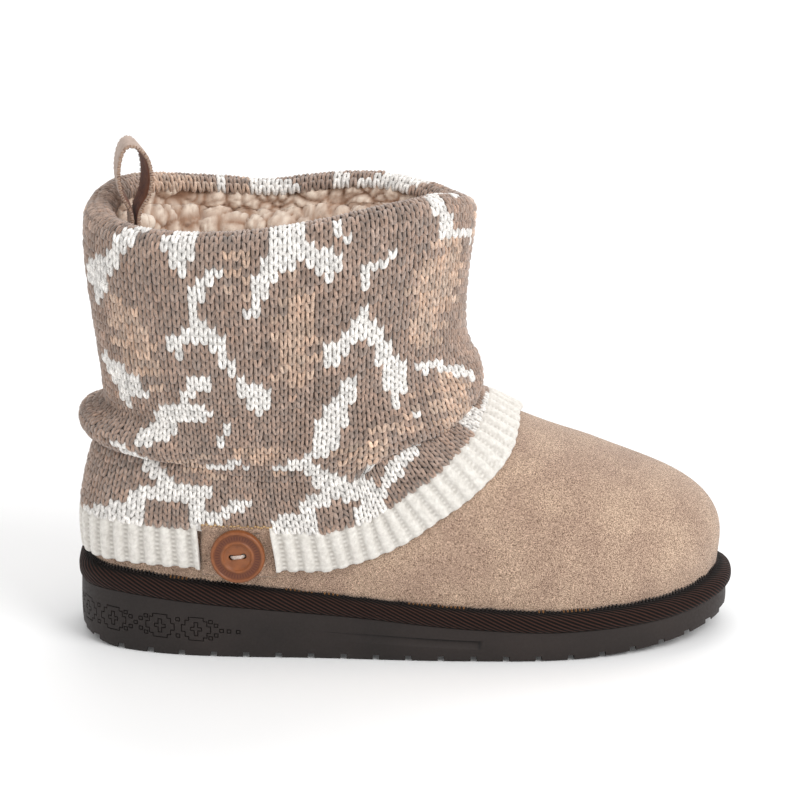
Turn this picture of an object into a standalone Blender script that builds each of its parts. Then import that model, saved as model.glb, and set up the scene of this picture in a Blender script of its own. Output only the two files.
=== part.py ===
"""Knit ankle boot, right foot: rubber outsole, wrapped midsole, insole, suede and fleece upper, knit
sleeve hooked over the collar, pull loop, and a button on its tab.

Frame: +X to the toe, +Y to the inner (medial) side, +Z up, the floor at Z = 0 and the origin under the
middle of the boot. The tables are in millimetres, and MM turns them into metres.
"""

from math import cos, pi, radians, sin

import bmesh
import bpy
import numpy as np
from mathutils import Matrix, Vector

MM = 0.001
GAP = 0.35  # between pieces that touch on the real boot

# Sole, seen from above. `arch` pulls the inner side in at the waist, `toe_in` turns the toe inwards.
PLAN = ("front_x", "back_x", "lateral", "medial", "wide_x", "nose", "heel", "arch", "toe_in")
OUTSOLE_PLAN = (138.0, -138.5, 50.3, 50.6, 42.0, 2.25, 3.2, 11.0, 8.0)
ARCH_X = -40.0
ARCH_REACH = 42.0
LATERAL_WAIST = 0.28  # the outer side's share of the arch

# Sole, seen from the side: heights above the floor along the boot.
SOLE_HEIGHTS = (
    # along, bottom, rubber top, midsole top
    (-139.0, 3.0, 25.4, 34.4),
    (-122.0, 0.0, 25.8, 34.4),
    (-91.0, 0.0, 24.0, 32.8),
    (-54.0, 0.0, 21.2, 29.8),
    (-18.0, 0.0, 18.6, 26.2),
    (28.0, 0.0, 14.4, 22.4),
    (66.0, 0.0, 12.7, 20.6),
    (90.0, 1.0, 13.0, 21.0),
    (115.0, 3.2, 14.2, 22.4),
    (140.0, 7.6, 17.6, 26.4),
)
RUBBER_EDGE = (
    # outwards from the plan outline, share of the rubber's height
    (-1.4, 0.0),
    (-0.3, 0.07),
    (0.2, 0.5),
    (0.0, 1.0),
)
WRAP_EDGE = (
    # share of the bulge, outwards from the plan outline, share of the midsole's height
    (0.2, 0.0, 0.0),
    (0.85, 0.0, 0.2),
    (1.0, 0.0, 0.45),
    (0.7, 0.0, 0.72),
    (0.2, -1.6, 0.92),
    (0.0, -4.0, 1.0),
)
WRAP_BULGE_HEEL = 1.1
WRAP_BULGE_TOE = 2.4
LUGS = 24
GROOVE_WIDTH = 3.0
GROOVE_DEPTH = 2.0
GROOVE_OVERRUN = 4.0  # how far a groove's cutter passes the edge on each side
INSOLE_THICK = 5.0
INSOLE_BEVEL = 1.0

# Outer face of the upper, a row for each ring from the feather line (where it meets the midsole) to the
# collar. Each ring is an oval from front to back with the widest place at wide_x; nose and heel say how
# square its two ends are; follow is how much of the midsole's dip it takes.
RING = ("front_x", "front_z", "back_x", "back_z", "lateral", "medial", "wide_x", "nose", "heel",
        "arch", "toe_in", "follow")
UPPER_RINGS = {
    "feather": (133.5, 26.1, -134.0, 34.8, 46.3, 46.8, 42.0, 2.25, 3.1, 9.0, 8.0, 1.0),
    "swell": (135.2, 40.0, -135.2, 46.0, 47.6, 48.2, 40.0, 2.2, 3.0, 7.0, 8.0, 0.6),
    "toe crown": (132.9, 49.6, -134.4, 57.5, 47.2, 47.6, 34.0, 2.15, 2.9, 5.0, 8.0, 0.4),
    "toe top": (126.7, 57.9, -132.9, 67.0, 46.2, 46.4, 27.0, 2.1, 2.8, 4.0, 7.0, 0.2),
    "vamp low": (114.0, 66.6, -131.2, 75.5, 45.0, 45.0, 14.0, 2.0, 2.7, 3.0, 6.0, 0.1),
    "vamp": (93.0, 75.4, -129.4, 83.5, 44.4, 44.4, 0.0, 1.92, 2.6, 2.0, 4.5, 0.0),
    "vamp high": (70.0, 84.3, -127.6, 91.5, 44.4, 44.4, -15.0, 1.85, 2.5, 1.0, 3.0, 0.0),
    "instep": (48.0, 92.6, -126.2, 99.0, 44.8, 44.8, -30.0, 1.82, 2.45, 0.0, 2.0, 0.0),
    "throat": (33.0, 100.2, -125.3, 105.5, 45.4, 45.4, -40.0, 1.9, 2.4, 0.0, 1.0, 0.0),
    "ankle": (25.0, 111.0, -125.2, 113.0, 46.0, 46.0, -47.0, 2.0, 2.4, 0.0, 0.0, 0.0),
    "shaft low": (22.2, 124.0, -126.6, 124.5, 46.8, 46.8, -51.0, 2.15, 2.4, 0.0, 0.0, 0.0),
    "shaft": (22.4, 146.0, -129.3, 145.0, 48.2, 48.2, -53.0, 2.25, 2.4, 0.0, 0.0, 0.0),
    "shaft high": (24.6, 166.5, -131.4, 164.5, 49.3, 49.3, -53.0, 2.3, 2.4, 0.0, 0.0, 0.0),
    "collar": (26.6, 182.6, -131.6, 180.8, 49.6, 49.6, -53.0, 2.3, 2.4, 0.0, 0.0, 0.0),
}
UPPER_LEVELS = (0, 0.5, 1, 1.7, 2.4, 3.2, 4, 5, 6, 7, 7.7, 8.4, 9.1, 10, 11, 12, 13)
INNER_ROWS = (0, 2, 4, 6, 8, 10, 12, 13, 14, 15, 16)  # the levels that the inner face uses
UPPER_WALL = 7.0  # suede with the fleece behind it
COLLAR_LINE = (
    # degrees round the shaft, how much higher the collar's edge is than its row of the table
    (-180.0, 0.3),
    (-140.0, -2.6),
    (-115.0, -1.7),
    (-90.0, 0.8),
    (-65.0, 4.1),
    (-45.0, 7.4),
    (-28.0, 8.5),
    (-12.0, 5.0),
    (0.0, 0.5),
    (14.0, -2.6),
    (30.0, -1.2),
    (48.0, 0.6),
    (64.0, 0.0),
    (98.0, -3.2),
    (130.0, -0.2),
    (157.0, 3.8),
    (180.0, 0.3),
)
COLLAR_LINE_FROM = 8  # the row of the upper's table where the wave in it starts
SHAFT_CENTRE_X = -50.0

# The sleeve's hem and folds, in degrees round the shaft: 0 at the front, 180 at the back.
HEM_HEIGHTS = (
    # round, height of the hem's edge
    (0.0, 92.6),
    (8.0, 90.6),
    (16.0, 86.0),
    (25.0, 77.6),
    (34.0, 64.2),
    (43.0, 52.0),
    (54.0, 44.4),
    (72.0, 39.3),
    (100.0, 39.2),
    (140.0, 39.3),
    (180.0, 38.2),
)
SLOUCH_FOLD = (
    # round, height of the crest, how far it stands proud, reach below, reach above
    (0.0, 115.0, 5.5, 8.0, 14.0),
    (25.0, 107.0, 5.5, 9.0, 16.0),
    (45.0, 101.0, 4.6, 9.0, 18.0),
    (60.0, 94.0, 3.4, 11.0, 18.0),
    (85.0, 90.0, 2.6, 14.0, 16.0),
    (115.0, 88.0, 2.8, 12.0, 16.0),
    (140.0, 90.0, 4.2, 11.0, 14.0),
    (158.0, 92.5, 6.4, 11.0, 13.0),
    (180.0, 94.5, 7.8, 12.0, 13.0),
)
FOLD_FALL = 1.6  # how steeply a fold dies away within its reach
KNIT_WALL = 3.6
KNIT_EASE = 0.8  # between the knit and the upper where it lies close
TUCK_LEVELS = 0.62  # how far the sleeve turns down inside the collar, in rows of the upper's table
COLUMNS_LEVEL_BY = 1.6  # the knit's columns stand straight from 1 / 1.6 of the way up

TAB_FROM = -131.5  # degrees round the shaft
TAB_TO = -101.5
TAB_BOTTOM = 36.0
TAB_TOP = 57.5
TAB_THICK = 1.7
TAB_GAP_DEPTH = 30.0  # of the box that opens the hem round the tab
TAB_GAP_HEIGHT = 40.0
BUTTON_AT = -115.5
BUTTON_Z = 45.3
BUTTON_RADIUS = 11.5
BUTTON_THICK = 4.0
BUTTON_RIM = 2.6
BUTTON_RIM_HEIGHT = 0.8
BUTTON_HOLE_RADIUS = 1.3
BUTTON_HOLE_SPACING = 5.6

LOOP_WIDTH = 17.0
LOOP_PLY = 2.0
LOOP_PLY_GAP = 0.3  # between the two plies where they are sewn together
LOOP_TOP_Z = 214.0
LOOP_BELLY_Z = 200.0
LOOP_BELLY = 14.4  # across the loop, outside to outside
LOOP_SEWN_Z = 181.0  # the plies are sewn together up to here
LOOP_OPEN_Z = 186.0  # and they part here
LOOP_FOOT_Z = 172.0
LOOP_X = -115.1
LOOP_SWAY = (
    # height, how far forward
    (172.0, 0.0),
    (186.0, 0.0),
    (198.0, -0.2),
    (207.0, -0.5),
    (214.0, -1.4),
)
LOOP_TWIST = 10.0  # degrees about its own height

ROUND_SOLE = 84
ROUND_UPPER = 60
ROUND_SLEEVE = 56
SLEEVE_ROWS = 18


def smooth_curve(stations, values, level_ends=False):
    """A curve through the values at these stations that never overshoots them."""
    xs = np.asarray(stations, float)
    ys = np.asarray(values, float)
    step = np.diff(xs)
    slope = np.diff(ys) / step
    tangent = np.zeros_like(ys)
    if not level_ends:
        tangent[0], tangent[-1] = slope[0], slope[-1]
    for i in range(1, len(xs) - 1):
        if slope[i - 1] * slope[i] > 0:
            before = 2 * step[i] + step[i - 1]
            after = step[i] + 2 * step[i - 1]
            tangent[i] = (before + after) / (before / slope[i - 1] + after / slope[i])

    def at(x):
        i = np.clip(np.searchsorted(xs, x) - 1, 0, len(xs) - 2)
        t = np.clip((x - xs[i]) / step[i], 0.0, 1.0)
        return (
            ys[i] * (1 + 2 * t) * (1 - t) ** 2
            + tangent[i] * step[i] * t * (1 - t) ** 2
            + ys[i + 1] * t * t * (3 - 2 * t)
            + tangent[i + 1] * step[i] * t * t * (t - 1)
        )

    return at


def natural_spline(rows):
    """A natural cubic spline through the rows of a table, read at any number between two rows."""
    table = np.asarray(rows, float)
    count = len(table)
    matrix = np.eye(count)
    right = np.zeros_like(table)
    for i in range(1, count - 1):
        matrix[i, i - 1 : i + 2] = (1, 4, 1)
        right[i] = 6 * (table[i + 1] - 2 * table[i] + table[i - 1])
    bend = np.linalg.solve(matrix, right)

    def at(level):
        i = min(max(int(level), 0), count - 2)
        b = level - i
        a = 1 - b
        return (
            a * table[i]
            + b * table[i + 1]
            + ((a**3 - a) * bend[i] + (b**3 - b) * bend[i + 1]) / 6
        )

    return at


SOLE = np.array(SOLE_HEIGHTS)
sole_bottom = smooth_curve(SOLE[:, 0], SOLE[:, 1])
rubber_top = smooth_curve(SOLE[:, 0], SOLE[:, 2])
midsole_top = smooth_curve(SOLE[:, 0], SOLE[:, 3])
collar_line = smooth_curve(*zip(*COLLAR_LINE), level_ends=True)
upper_row = natural_spline(list(UPPER_RINGS.values()))
TOP_LEVEL = len(UPPER_RINGS) - 1


def oval(p):
    """A fine closed ring in plan, counterclockwise from its front, and how many steps each side has."""
    angles = np.linspace(0, pi / 2, 91)
    c, s = np.cos(angles), np.sin(angles)
    front = p["wide_x"] + (p["front_x"] - p["wide_x"]) * c ** (2 / p["nose"])
    back = p["wide_x"] - (p["wide_x"] - p["back_x"]) * c[::-1] ** (2 / p["heel"])
    x = np.concatenate([front, back[1:]])
    width = np.concatenate([s ** (2 / p["nose"]), s[::-1][1:] ** (2 / p["heel"])])
    ahead = np.clip((x - p["wide_x"]) / (p["front_x"] - p["wide_x"]), 0, 1)
    middle = p["toe_in"] * ahead**2
    waist = p["arch"] * np.exp(-(((x - ARCH_X) / ARCH_REACH) ** 2)) * np.minimum(1, 1.5 * width)
    medial = middle + width * p["medial"] - waist
    lateral = middle - width * p["lateral"] + LATERAL_WAIST * waist
    there = np.stack([x, medial], 1)
    back_again = np.stack([x, lateral], 1)[-2:0:-1]
    return np.concatenate([there, back_again]), len(x) - 1


def even_steps(line, steps):
    run = np.concatenate([[0], np.cumsum(np.linalg.norm(np.diff(line, axis=0), axis=1))])
    wanted = np.linspace(0, run[-1], steps + 1)
    return np.stack([np.interp(wanted, run, column) for column in line.T], 1)


def even_ring(ring, side, count):
    """The ring at even steps, half of them on each side of the boot."""
    medial = even_steps(ring[: side + 1], count // 2)
    lateral = even_steps(np.concatenate([ring[side:], ring[:1]]), count // 2)
    return np.concatenate([medial[:-1], lateral[:-1]])


def sole_ring(outwards, count=ROUND_SOLE):
    """The sole's plan outline, moved outwards by this much, which may differ from point to point."""
    ring, side = oval(dict(zip(PLAN, OUTSOLE_PLAN)))
    ring = even_ring(ring, side, count)
    along = np.roll(ring, -1, 0) - np.roll(ring, 1, 0)
    normal = np.stack([along[:, 1], -along[:, 0]], 1)
    normal /= np.linalg.norm(normal, axis=1, keepdims=True)
    return ring + normal * np.reshape(outwards, (-1, 1))


def collar_rise(angle, level):
    share = np.clip((level - COLLAR_LINE_FROM) / (TOP_LEVEL - COLLAR_LINE_FROM), 0, 1) ** 2
    return share * collar_line((np.degrees(angle) + 180) % 360 - 180)


def upper_ring(level):
    """The upper's outer face at this level between two rows of its table, as a fine ring."""
    p = dict(zip(RING, upper_row(level)))
    plan, side = oval(p)
    share = (plan[:, 0] - p["back_x"]) / (p["front_x"] - p["back_x"])
    straight = p["back_z"] + (p["front_z"] - p["back_z"]) * share
    first = dict(zip(RING, UPPER_RINGS["feather"]))
    foot_x = first["back_x"] + (first["front_x"] - first["back_x"]) * share
    chord = first["back_z"] + (first["front_z"] - first["back_z"]) * share
    dip = midsole_top(foot_x) + GAP - chord
    angle = np.arctan2(plan[:, 1], plan[:, 0] - SHAFT_CENTRE_X)
    z = straight + p["follow"] * dip + collar_rise(angle, level)
    return np.column_stack([plan, z]), side


def upper_at(level, angles):
    """Points of the outer face in these directions from the shaft's middle, in radians."""
    ring, _ = upper_ring(level)
    around = np.unwrap(np.arctan2(ring[:, 1], ring[:, 0] - SHAFT_CENTRE_X))
    around = np.append(around, around[0] + 2 * pi)
    closed = np.concatenate([ring, ring[:1]])
    wanted = np.mod(angles - around[0], 2 * pi) + around[0]
    return np.stack([np.interp(wanted, around, column) for column in closed.T], 1)


def outward(grid):
    """Normals of a grid of points whose rows are closed rings, counterclockwise, lowest first."""
    around = np.roll(grid, -1, 1) - np.roll(grid, 1, 1)
    up = np.gradient(grid, axis=0)
    normal = np.cross(around, up)
    return normal / np.linalg.norm(normal, axis=2, keepdims=True)


def over_the_edge(edge, normal, up, half_wall, angles):
    """Rows round the rounded edge of a wall: `edge` is the top of its outer face."""
    middle = edge - normal * half_wall
    return [middle + (normal * cos(a) + up * sin(a)) * half_wall for a in angles]


def unit(vectors):
    return vectors / np.linalg.norm(vectors, axis=-1, keepdims=True)


def add_material(name, colour, roughness, metallic=0.0):
    material = bpy.data.materials.new(name)
    material.use_nodes = True
    shader = material.node_tree.nodes["Principled BSDF"]
    shader.inputs["Base Color"].default_value = (*colour, 1.0)
    shader.inputs["Roughness"].default_value = roughness
    shader.inputs["Metallic"].default_value = metallic
    material.diffuse_color = (*colour, 1.0)
    return material


def add_piece(name, mesh_data, material, collection):
    """An object made of these vertices, in millimetres, and faces."""
    vertices, faces = mesh_data
    mesh = bpy.data.meshes.new(name)
    mesh.from_pydata((np.asarray(vertices) * MM).tolist(), [], faces)
    mesh.shade_smooth()
    mesh.set_sharp_from_angle(angle=radians(50))
    piece = bpy.data.objects.new(name, mesh)
    piece.data.materials.append(material)
    collection.objects.link(piece)
    return piece


def ring_faces(rows, count, first=0, closed=False):
    """Quads between neighbouring rings, facing outwards where the rings climb counterclockwise."""
    faces = []
    for r in range(rows if closed else rows - 1):
        low = first + r * count
        high = first + ((r + 1) % rows) * count
        for i in range(count):
            j = (i + 1) % count
            faces.append((low + i, low + j, high + j, high + i))
    return faces


def cap_faces(start, count, up):
    """A flat lid over one ring: strips from side to side, the same way on every ring."""
    faces = []
    for i in range(count // 2):
        j = (count - i) % count
        k = count - i - 1
        strip = [start + i, start + i + 1, start + k]
        if j != i:
            strip.append(start + j)
        if k == i + 1:
            strip.remove(start + k)
        faces.append(tuple(strip if up else reversed(strip)))
    return faces


def slab(rings):
    """A closed solid from stacked rings, lowest first, with a lid at both ends."""
    count = len(rings[0])
    vertices = np.concatenate(rings)
    faces = ring_faces(len(rings), count)
    faces += cap_faces(0, count, up=False)
    faces += cap_faces((len(rings) - 1) * count, count, up=True)
    return vertices, faces


def make_outsole(material, parts, cutters):
    rings = []
    for out, share in RUBBER_EDGE:
        ring = sole_ring(out)
        low, high = sole_bottom(ring[:, 0]), rubber_top(ring[:, 0])
        rings.append(np.column_stack([ring, low + (high - low) * share]))
    outsole = add_piece("outsole", slab(rings), material, parts)
    cut = outsole.modifiers.new("lug grooves", "BOOLEAN")
    cut.object = lug_grooves(cutters)


def lug_grooves(cutters):
    """One bar for each groove across the tread, at even steps along the edge."""
    ring = sole_ring(0.0, 2 * LUGS)
    mesh = bpy.data.meshes.new("lug_grooves")
    bars = bmesh.new()
    for i in range(1, LUGS):
        medial, lateral = ring[i], ring[2 * LUGS - i]
        middle = (medial + lateral) / 2
        across = medial - lateral
        size = (GROOVE_WIDTH, np.linalg.norm(across) + 2 * GROOVE_OVERRUN, 2 * GROOVE_DEPTH)
        turn = np.arctan2(-across[0], across[1])
        place = Vector((middle[0], middle[1], float(sole_bottom(middle[0])))) * MM
        matrix = (
            Matrix.Translation(place)
            @ Matrix.Rotation(turn, 4, "Z")
            @ Matrix.Diagonal((*(MM * side for side in size), 1.0))
        )
        bmesh.ops.create_cube(bars, size=1.0, matrix=matrix)
    bars.to_mesh(mesh)
    bars.free()
    return add_cutter("lug_grooves", mesh, cutters)


def add_cutter(name, mesh, cutters):
    cutter = bpy.data.objects.new(name, mesh)
    cutter.hide_render = True
    cutter.display_type = "WIRE"
    cutters.objects.link(cutter)
    return cutter


def make_midsole_wrap(material, parts):
    rings = []
    for bulge_share, out, share in WRAP_EDGE:
        along = (sole_ring(0.0)[:, 0] - OUTSOLE_PLAN[1]) / (OUTSOLE_PLAN[0] - OUTSOLE_PLAN[1])
        bulge = WRAP_BULGE_HEEL + (WRAP_BULGE_TOE - WRAP_BULGE_HEEL) * along**2
        ring = sole_ring(out + bulge_share * bulge)
        low, high = rubber_top(ring[:, 0]) + GAP, midsole_top(ring[:, 0])
        rings.append(np.column_stack([ring, low + (high - low) * share]))
    add_piece("midsole_wrap", slab(rings), material, parts)


def make_insole(material, parts):
    wall = upper_wall_rows(ROUND_SOLE)
    inner = wall[-1][:, :2]
    centre = np.array([SHAFT_CENTRE_X / 4, 0.0])
    ring = inner - unit(inner - centre) * 2 * GAP
    low = midsole_top(ring[:, 0]) + GAP
    rings = [np.column_stack([ring, low + rise]) for rise in (0.0, INSOLE_THICK - INSOLE_BEVEL)]
    top = ring - unit(ring - centre) * INSOLE_BEVEL
    rings.append(np.column_stack([top, low + INSOLE_THICK]))
    add_piece("insole", slab(rings), material, parts)


def upper_wall_rows(count):
    """Rings of the upper's whole wall: up the outer face, over the collar and down the inner face."""
    outer = np.stack([even_ring(*upper_ring(level), count) for level in UPPER_LEVELS])
    normal = outward(outer)
    level_out = normal[0] * (1, 1, 0)
    normal[0] = unit(level_out)
    up = unit(outer[-1] - outer[-2])
    edge = over_the_edge(outer[-1], normal[-1], up, UPPER_WALL / 2, (pi / 4, pi / 2, 3 * pi / 4))
    inner = (outer - normal * UPPER_WALL)[INNER_ROWS, :]
    return [*outer, *edge, *inner[::-1]]


def make_upper(material, parts):
    rows = upper_wall_rows(ROUND_UPPER)
    faces = ring_faces(len(rows), ROUND_UPPER, closed=True)
    add_piece("upper", (np.concatenate(rows), faces), material, parts)


def around_table(rows, column):
    """A column of a table whose first column goes from 0 at the front to 180 at the back."""
    table = np.array(rows)
    curve = smooth_curve(table[:, 0], table[:, column], level_ends=True)

    def at(angle):
        turn = np.degrees(angle)
        return curve(np.abs((turn + 180) % 360 - 180))

    return at


hem_height = around_table(HEM_HEIGHTS, 1)
fold_crest, fold_proud, fold_below, fold_above = (
    around_table(SLOUCH_FOLD, column) for column in (1, 2, 3, 4)
)


def slouch(angle, z):
    """How far the sleeve stands off the upper."""
    rise = z - fold_crest(angle)
    reach = np.where(rise < 0, fold_below(angle), fold_above(angle))
    return fold_proud(angle) * np.exp(-((rise / reach) ** 2) * FOLD_FALL)


def sleeve_rows():
    """Rings of the sleeve's inner face: up from the hem, over the collar and down inside it."""
    fine = np.linspace(0, TOP_LEVEL, 4 * TOP_LEVEL + 1)
    fan = np.linspace(0, 2 * pi, ROUND_SLEEVE + 1)[:-1]
    surface = np.stack([upper_at(level, fan) for level in fine])
    hem = np.array([np.interp(hem_height(a), surface[:, i, 2], fine) for i, a in enumerate(fan)])
    shaft = even_ring(*upper_ring(TOP_LEVEL - 2), ROUND_SLEEVE)
    shaft_angle = np.unwrap(np.arctan2(shaft[:, 1], shaft[:, 0] - SHAFT_CENTRE_X))
    line = np.stack([upper_at(hem[i], fan[i : i + 1])[0] for i in range(ROUND_SLEEVE)])
    half = ROUND_SLEEVE // 2
    even_hem = even_ring(line, half, ROUND_SLEEVE)
    hem_angle = np.unwrap(np.arctan2(even_hem[:, 1], even_hem[:, 0] - SHAFT_CENTRE_X))
    rows = []
    for t in np.linspace(0, 1, SLEEVE_ROWS):
        angle = hem_angle + (shaft_angle - hem_angle) * min(1.0, COLUMNS_LEVEL_BY * t)
        low = np.interp(angle % (2 * pi), np.append(fan, 2 * pi), np.append(hem, hem[0]))
        level = low + (TOP_LEVEL - low) * t
        rows.append(np.stack([upper_at(v, a)[0] for v, a in zip(level, angle[:, None])]))
    outer = np.stack(rows)
    normal = outward(outer)
    angle = np.arctan2(outer[..., 1], outer[..., 0] - SHAFT_CENTRE_X)
    stand_off = KNIT_EASE + slouch(angle, outer[..., 2]) * (np.arange(SLEEVE_ROWS) > 0)[:, None]
    up = unit(outer[-1] - outer[-2])
    half_wall = UPPER_WALL / 2
    turned = [
        outer[-1] - normal[-1] * half_wall
        + (normal[-1] * cos(a) + up * sin(a)) * (half_wall + KNIT_EASE)
        for a in (pi / 4, pi / 2, 3 * pi / 4)
    ]
    below = [TOP_LEVEL - share * TUCK_LEVELS for share in (0.0, 0.5, 1.0)]
    inside = np.stack([upper_at(level, shaft_angle) for level in below[::-1]])
    tucked = (inside - outward(inside) * (UPPER_WALL + KNIT_EASE))[::-1]
    return [*(outer + normal * stand_off[..., None]), *turned, *tucked]


def make_knit_sleeve(material, parts, cutters):
    rows = sleeve_rows()
    faces = ring_faces(len(rows), ROUND_SLEEVE)
    sleeve = add_piece("knit_sleeve", (np.concatenate(rows), faces), material, parts)
    wall = sleeve.modifiers.new("knit wall", "SOLIDIFY")
    wall.thickness = KNIT_WALL * MM
    wall.offset = 1.0
    cut = sleeve.modifiers.new("tab gap", "BOOLEAN")
    cut.object = tab_gap(cutters)


def tab_corner(angle_degrees, z):
    """Where the upper's outer face is, in this direction and at this height."""
    angle = radians(angle_degrees)
    levels = np.linspace(0, 4, 17)
    line = np.concatenate([upper_at(level, np.array([angle])) for level in levels])
    return np.array([np.interp(z, line[:, 2], column) for column in line.T])


def tab_gap(cutters):
    """A box round the tab, which the hem leaves open."""
    low = tab_corner(TAB_FROM, TAB_BOTTOM)
    high = tab_corner(TAB_TO, TAB_TOP)
    size = Vector((high[0] - low[0] + 8 * GAP, TAB_GAP_DEPTH, TAB_GAP_HEIGHT))
    middle = Vector(((low[0] + high[0]) / 2, low[1], TAB_TOP + 2 * GAP - size.z / 2))
    box = bmesh.new()
    matrix = Matrix.Translation(middle * MM) @ Matrix.Diagonal((*(size * MM), 1.0))
    bmesh.ops.create_cube(box, size=1.0, matrix=matrix)
    mesh = bpy.data.meshes.new("tab_gap")
    box.to_mesh(mesh)
    box.free()
    return add_cutter("tab_gap", mesh, cutters)


def make_button_tab(material, parts):
    across, up = 8, 6
    angles = np.linspace(TAB_FROM, TAB_TO, across)
    heights = np.linspace(TAB_BOTTOM, TAB_TOP, up)
    grid = np.array([[tab_corner(angle, z) for angle in angles] for z in heights])
    right = np.gradient(grid, axis=1)
    above = np.gradient(grid, axis=0)
    normal = unit(np.cross(right, above))
    grid = grid + normal * GAP
    faces = [
        (r * across + c, r * across + c + 1, (r + 1) * across + c + 1, (r + 1) * across + c)
        for r in range(up - 1)
        for c in range(across - 1)
    ]
    tab = add_piece("button_tab", (grid.reshape(-1, 3), faces), material, parts)
    wall = tab.modifiers.new("tab thickness", "SOLIDIFY")
    wall.thickness = TAB_THICK * MM
    wall.offset = 1.0


def make_button(material, parts, cutters):
    """A turned disc with a raised rim and two holes for the thread."""
    radius, height = BUTTON_RADIUS, BUTTON_THICK
    rim = radius - BUTTON_RIM
    profile = (
        (0.0, height - BUTTON_RIM_HEIGHT),
        (rim - 0.8, height - BUTTON_RIM_HEIGHT),
        (rim, height),
        (radius - 0.9, height),
        (radius, height - 0.9),
        (radius, 0.9),
        (radius - 0.9, 0.0),
        (0.0, 0.0),
    )
    mesh = bpy.data.meshes.new("button")
    line = [(r * MM, 0.0, z * MM) for r, z in profile]
    mesh.from_pydata(line, [(i, i + 1) for i in range(len(line) - 1)], [])
    mesh.materials.append(material)
    button = bpy.data.objects.new("button", mesh)
    parts.objects.link(button)
    turn = button.modifiers.new("turned", "SCREW")
    turn.steps = turn.render_steps = 24
    turn.use_merge_vertices = True
    turn.merge_threshold = 0.00001
    turn.use_smooth_shade = True
    holes = bmesh.new()
    for side in (-0.5, 0.5):
        matrix = Matrix.Translation((side * BUTTON_HOLE_SPACING * MM, 0.0, height / 2 * MM))
        bmesh.ops.create_cone(
            holes, cap_ends=True, segments=10, radius1=BUTTON_HOLE_RADIUS * MM,
            radius2=BUTTON_HOLE_RADIUS * MM, depth=3 * height * MM, matrix=matrix,
        )
    hole_mesh = bpy.data.meshes.new("button_holes")
    holes.to_mesh(hole_mesh)
    holes.free()
    cutter = add_cutter("button_holes", hole_mesh, cutters)
    cutter.parent = button
    drill = button.modifiers.new("thread holes", "BOOLEAN")
    drill.object = cutter
    seat = tab_corner(BUTTON_AT, BUTTON_Z)
    left = tab_corner(BUTTON_AT - 4, BUTTON_Z)
    right = tab_corner(BUTTON_AT + 4, BUTTON_Z)
    above = tab_corner(BUTTON_AT, BUTTON_Z + 4)
    below = tab_corner(BUTTON_AT, BUTTON_Z - 4)
    x_axis = Vector(unit(right - left))
    z_axis = x_axis.cross(Vector(above - below)).normalized()
    y_axis = z_axis.cross(x_axis)
    place = Vector(seat) + z_axis * (2 * GAP + TAB_THICK)
    matrix = Matrix((x_axis, y_axis, z_axis)).transposed().to_4x4()
    button.matrix_world = Matrix.Translation(place * MM) @ matrix


def make_pull_loop(material, parts):
    """A strap folded double: both ends sewn together inside the collar, and a belly above it."""
    half = (LOOP_BELLY - LOOP_PLY) / 2
    stem = (LOOP_PLY + LOOP_PLY_GAP) / 2
    side = [(stem, LOOP_FOOT_Z), (stem, LOOP_SEWN_Z), (stem + LOOP_PLY / 2, LOOP_OPEN_Z)]
    rise = LOOP_TOP_Z - LOOP_PLY / 2 - LOOP_BELLY_Z
    drop = LOOP_BELLY_Z - LOOP_OPEN_Z
    for a in np.linspace(-0.25 * pi, 0.5 * pi, 9)[:-1]:
        side.append((half * cos(a), LOOP_BELLY_Z + sin(a) * (rise if a > 0 else drop)))
    top = (0.0, LOOP_TOP_Z - LOOP_PLY / 2)
    middle = np.array([*side, top, *[(-x, z) for x, z in side[::-1]]])
    middle[:, 0] += smooth_curve(*zip(*LOOP_SWAY))(middle[:, 1])
    tangent = np.gradient(middle, axis=0)
    normal = unit(np.stack([tangent[:, 1], -tangent[:, 0]], 1))
    outer = middle + normal * LOOP_PLY / 2
    inner = middle - normal * LOOP_PLY / 2
    outline = [*outer, *inner[::-1]]
    curve = bpy.data.curves.new("pull_loop", "CURVE")
    curve.dimensions = "2D"
    curve.fill_mode = "BOTH"
    curve.extrude = LOOP_WIDTH / 2 * MM
    spline = curve.splines.new("POLY")
    spline.points.add(len(outline) - 1)
    for point, (x, z) in zip(spline.points, outline):
        point.co = (x * MM, z * MM, 0.0, 1.0)
    spline.use_cyclic_u = True
    curve.materials.append(material)
    loop = bpy.data.objects.new("pull_loop", curve)
    parts.objects.link(loop)
    loop.location = (LOOP_X * MM, 0.0, 0.0)
    loop.rotation_euler = (pi / 2, 0.0, radians(LOOP_TWIST))


def main():
    for thing in list(bpy.data.objects):
        bpy.data.objects.remove(thing, do_unlink=True)
    scene = bpy.context.scene
    parts = bpy.data.collections.new("knit_ankle_boot")
    cutters = bpy.data.collections.new("cutters")
    scene.collection.children.link(parts)
    scene.collection.children.link(cutters)
    rubber = add_material("outsole rubber", (0.062, 0.053, 0.050), 0.62)
    twill = add_material("midsole twill", (0.030, 0.016, 0.013), 0.85)
    fleece = add_material("insole fleece", (0.52, 0.42, 0.35), 0.95)
    suede = add_material("upper suede", (0.47, 0.33, 0.24), 0.92)
    knit = add_material("sleeve knit", (0.36, 0.27, 0.22), 0.95)
    strap = add_material("loop strap", (0.42, 0.30, 0.22), 0.9)
    resin = add_material("button resin", (0.43, 0.15, 0.05), 0.45)
    make_outsole(rubber, parts, cutters)
    make_midsole_wrap(twill, parts)
    make_insole(fleece, parts)
    make_upper(suede, parts)
    make_knit_sleeve(knit, parts, cutters)
    make_pull_loop(strap, parts)
    make_button_tab(suede, parts)
    make_button(resin, parts, cutters)


main()
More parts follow.
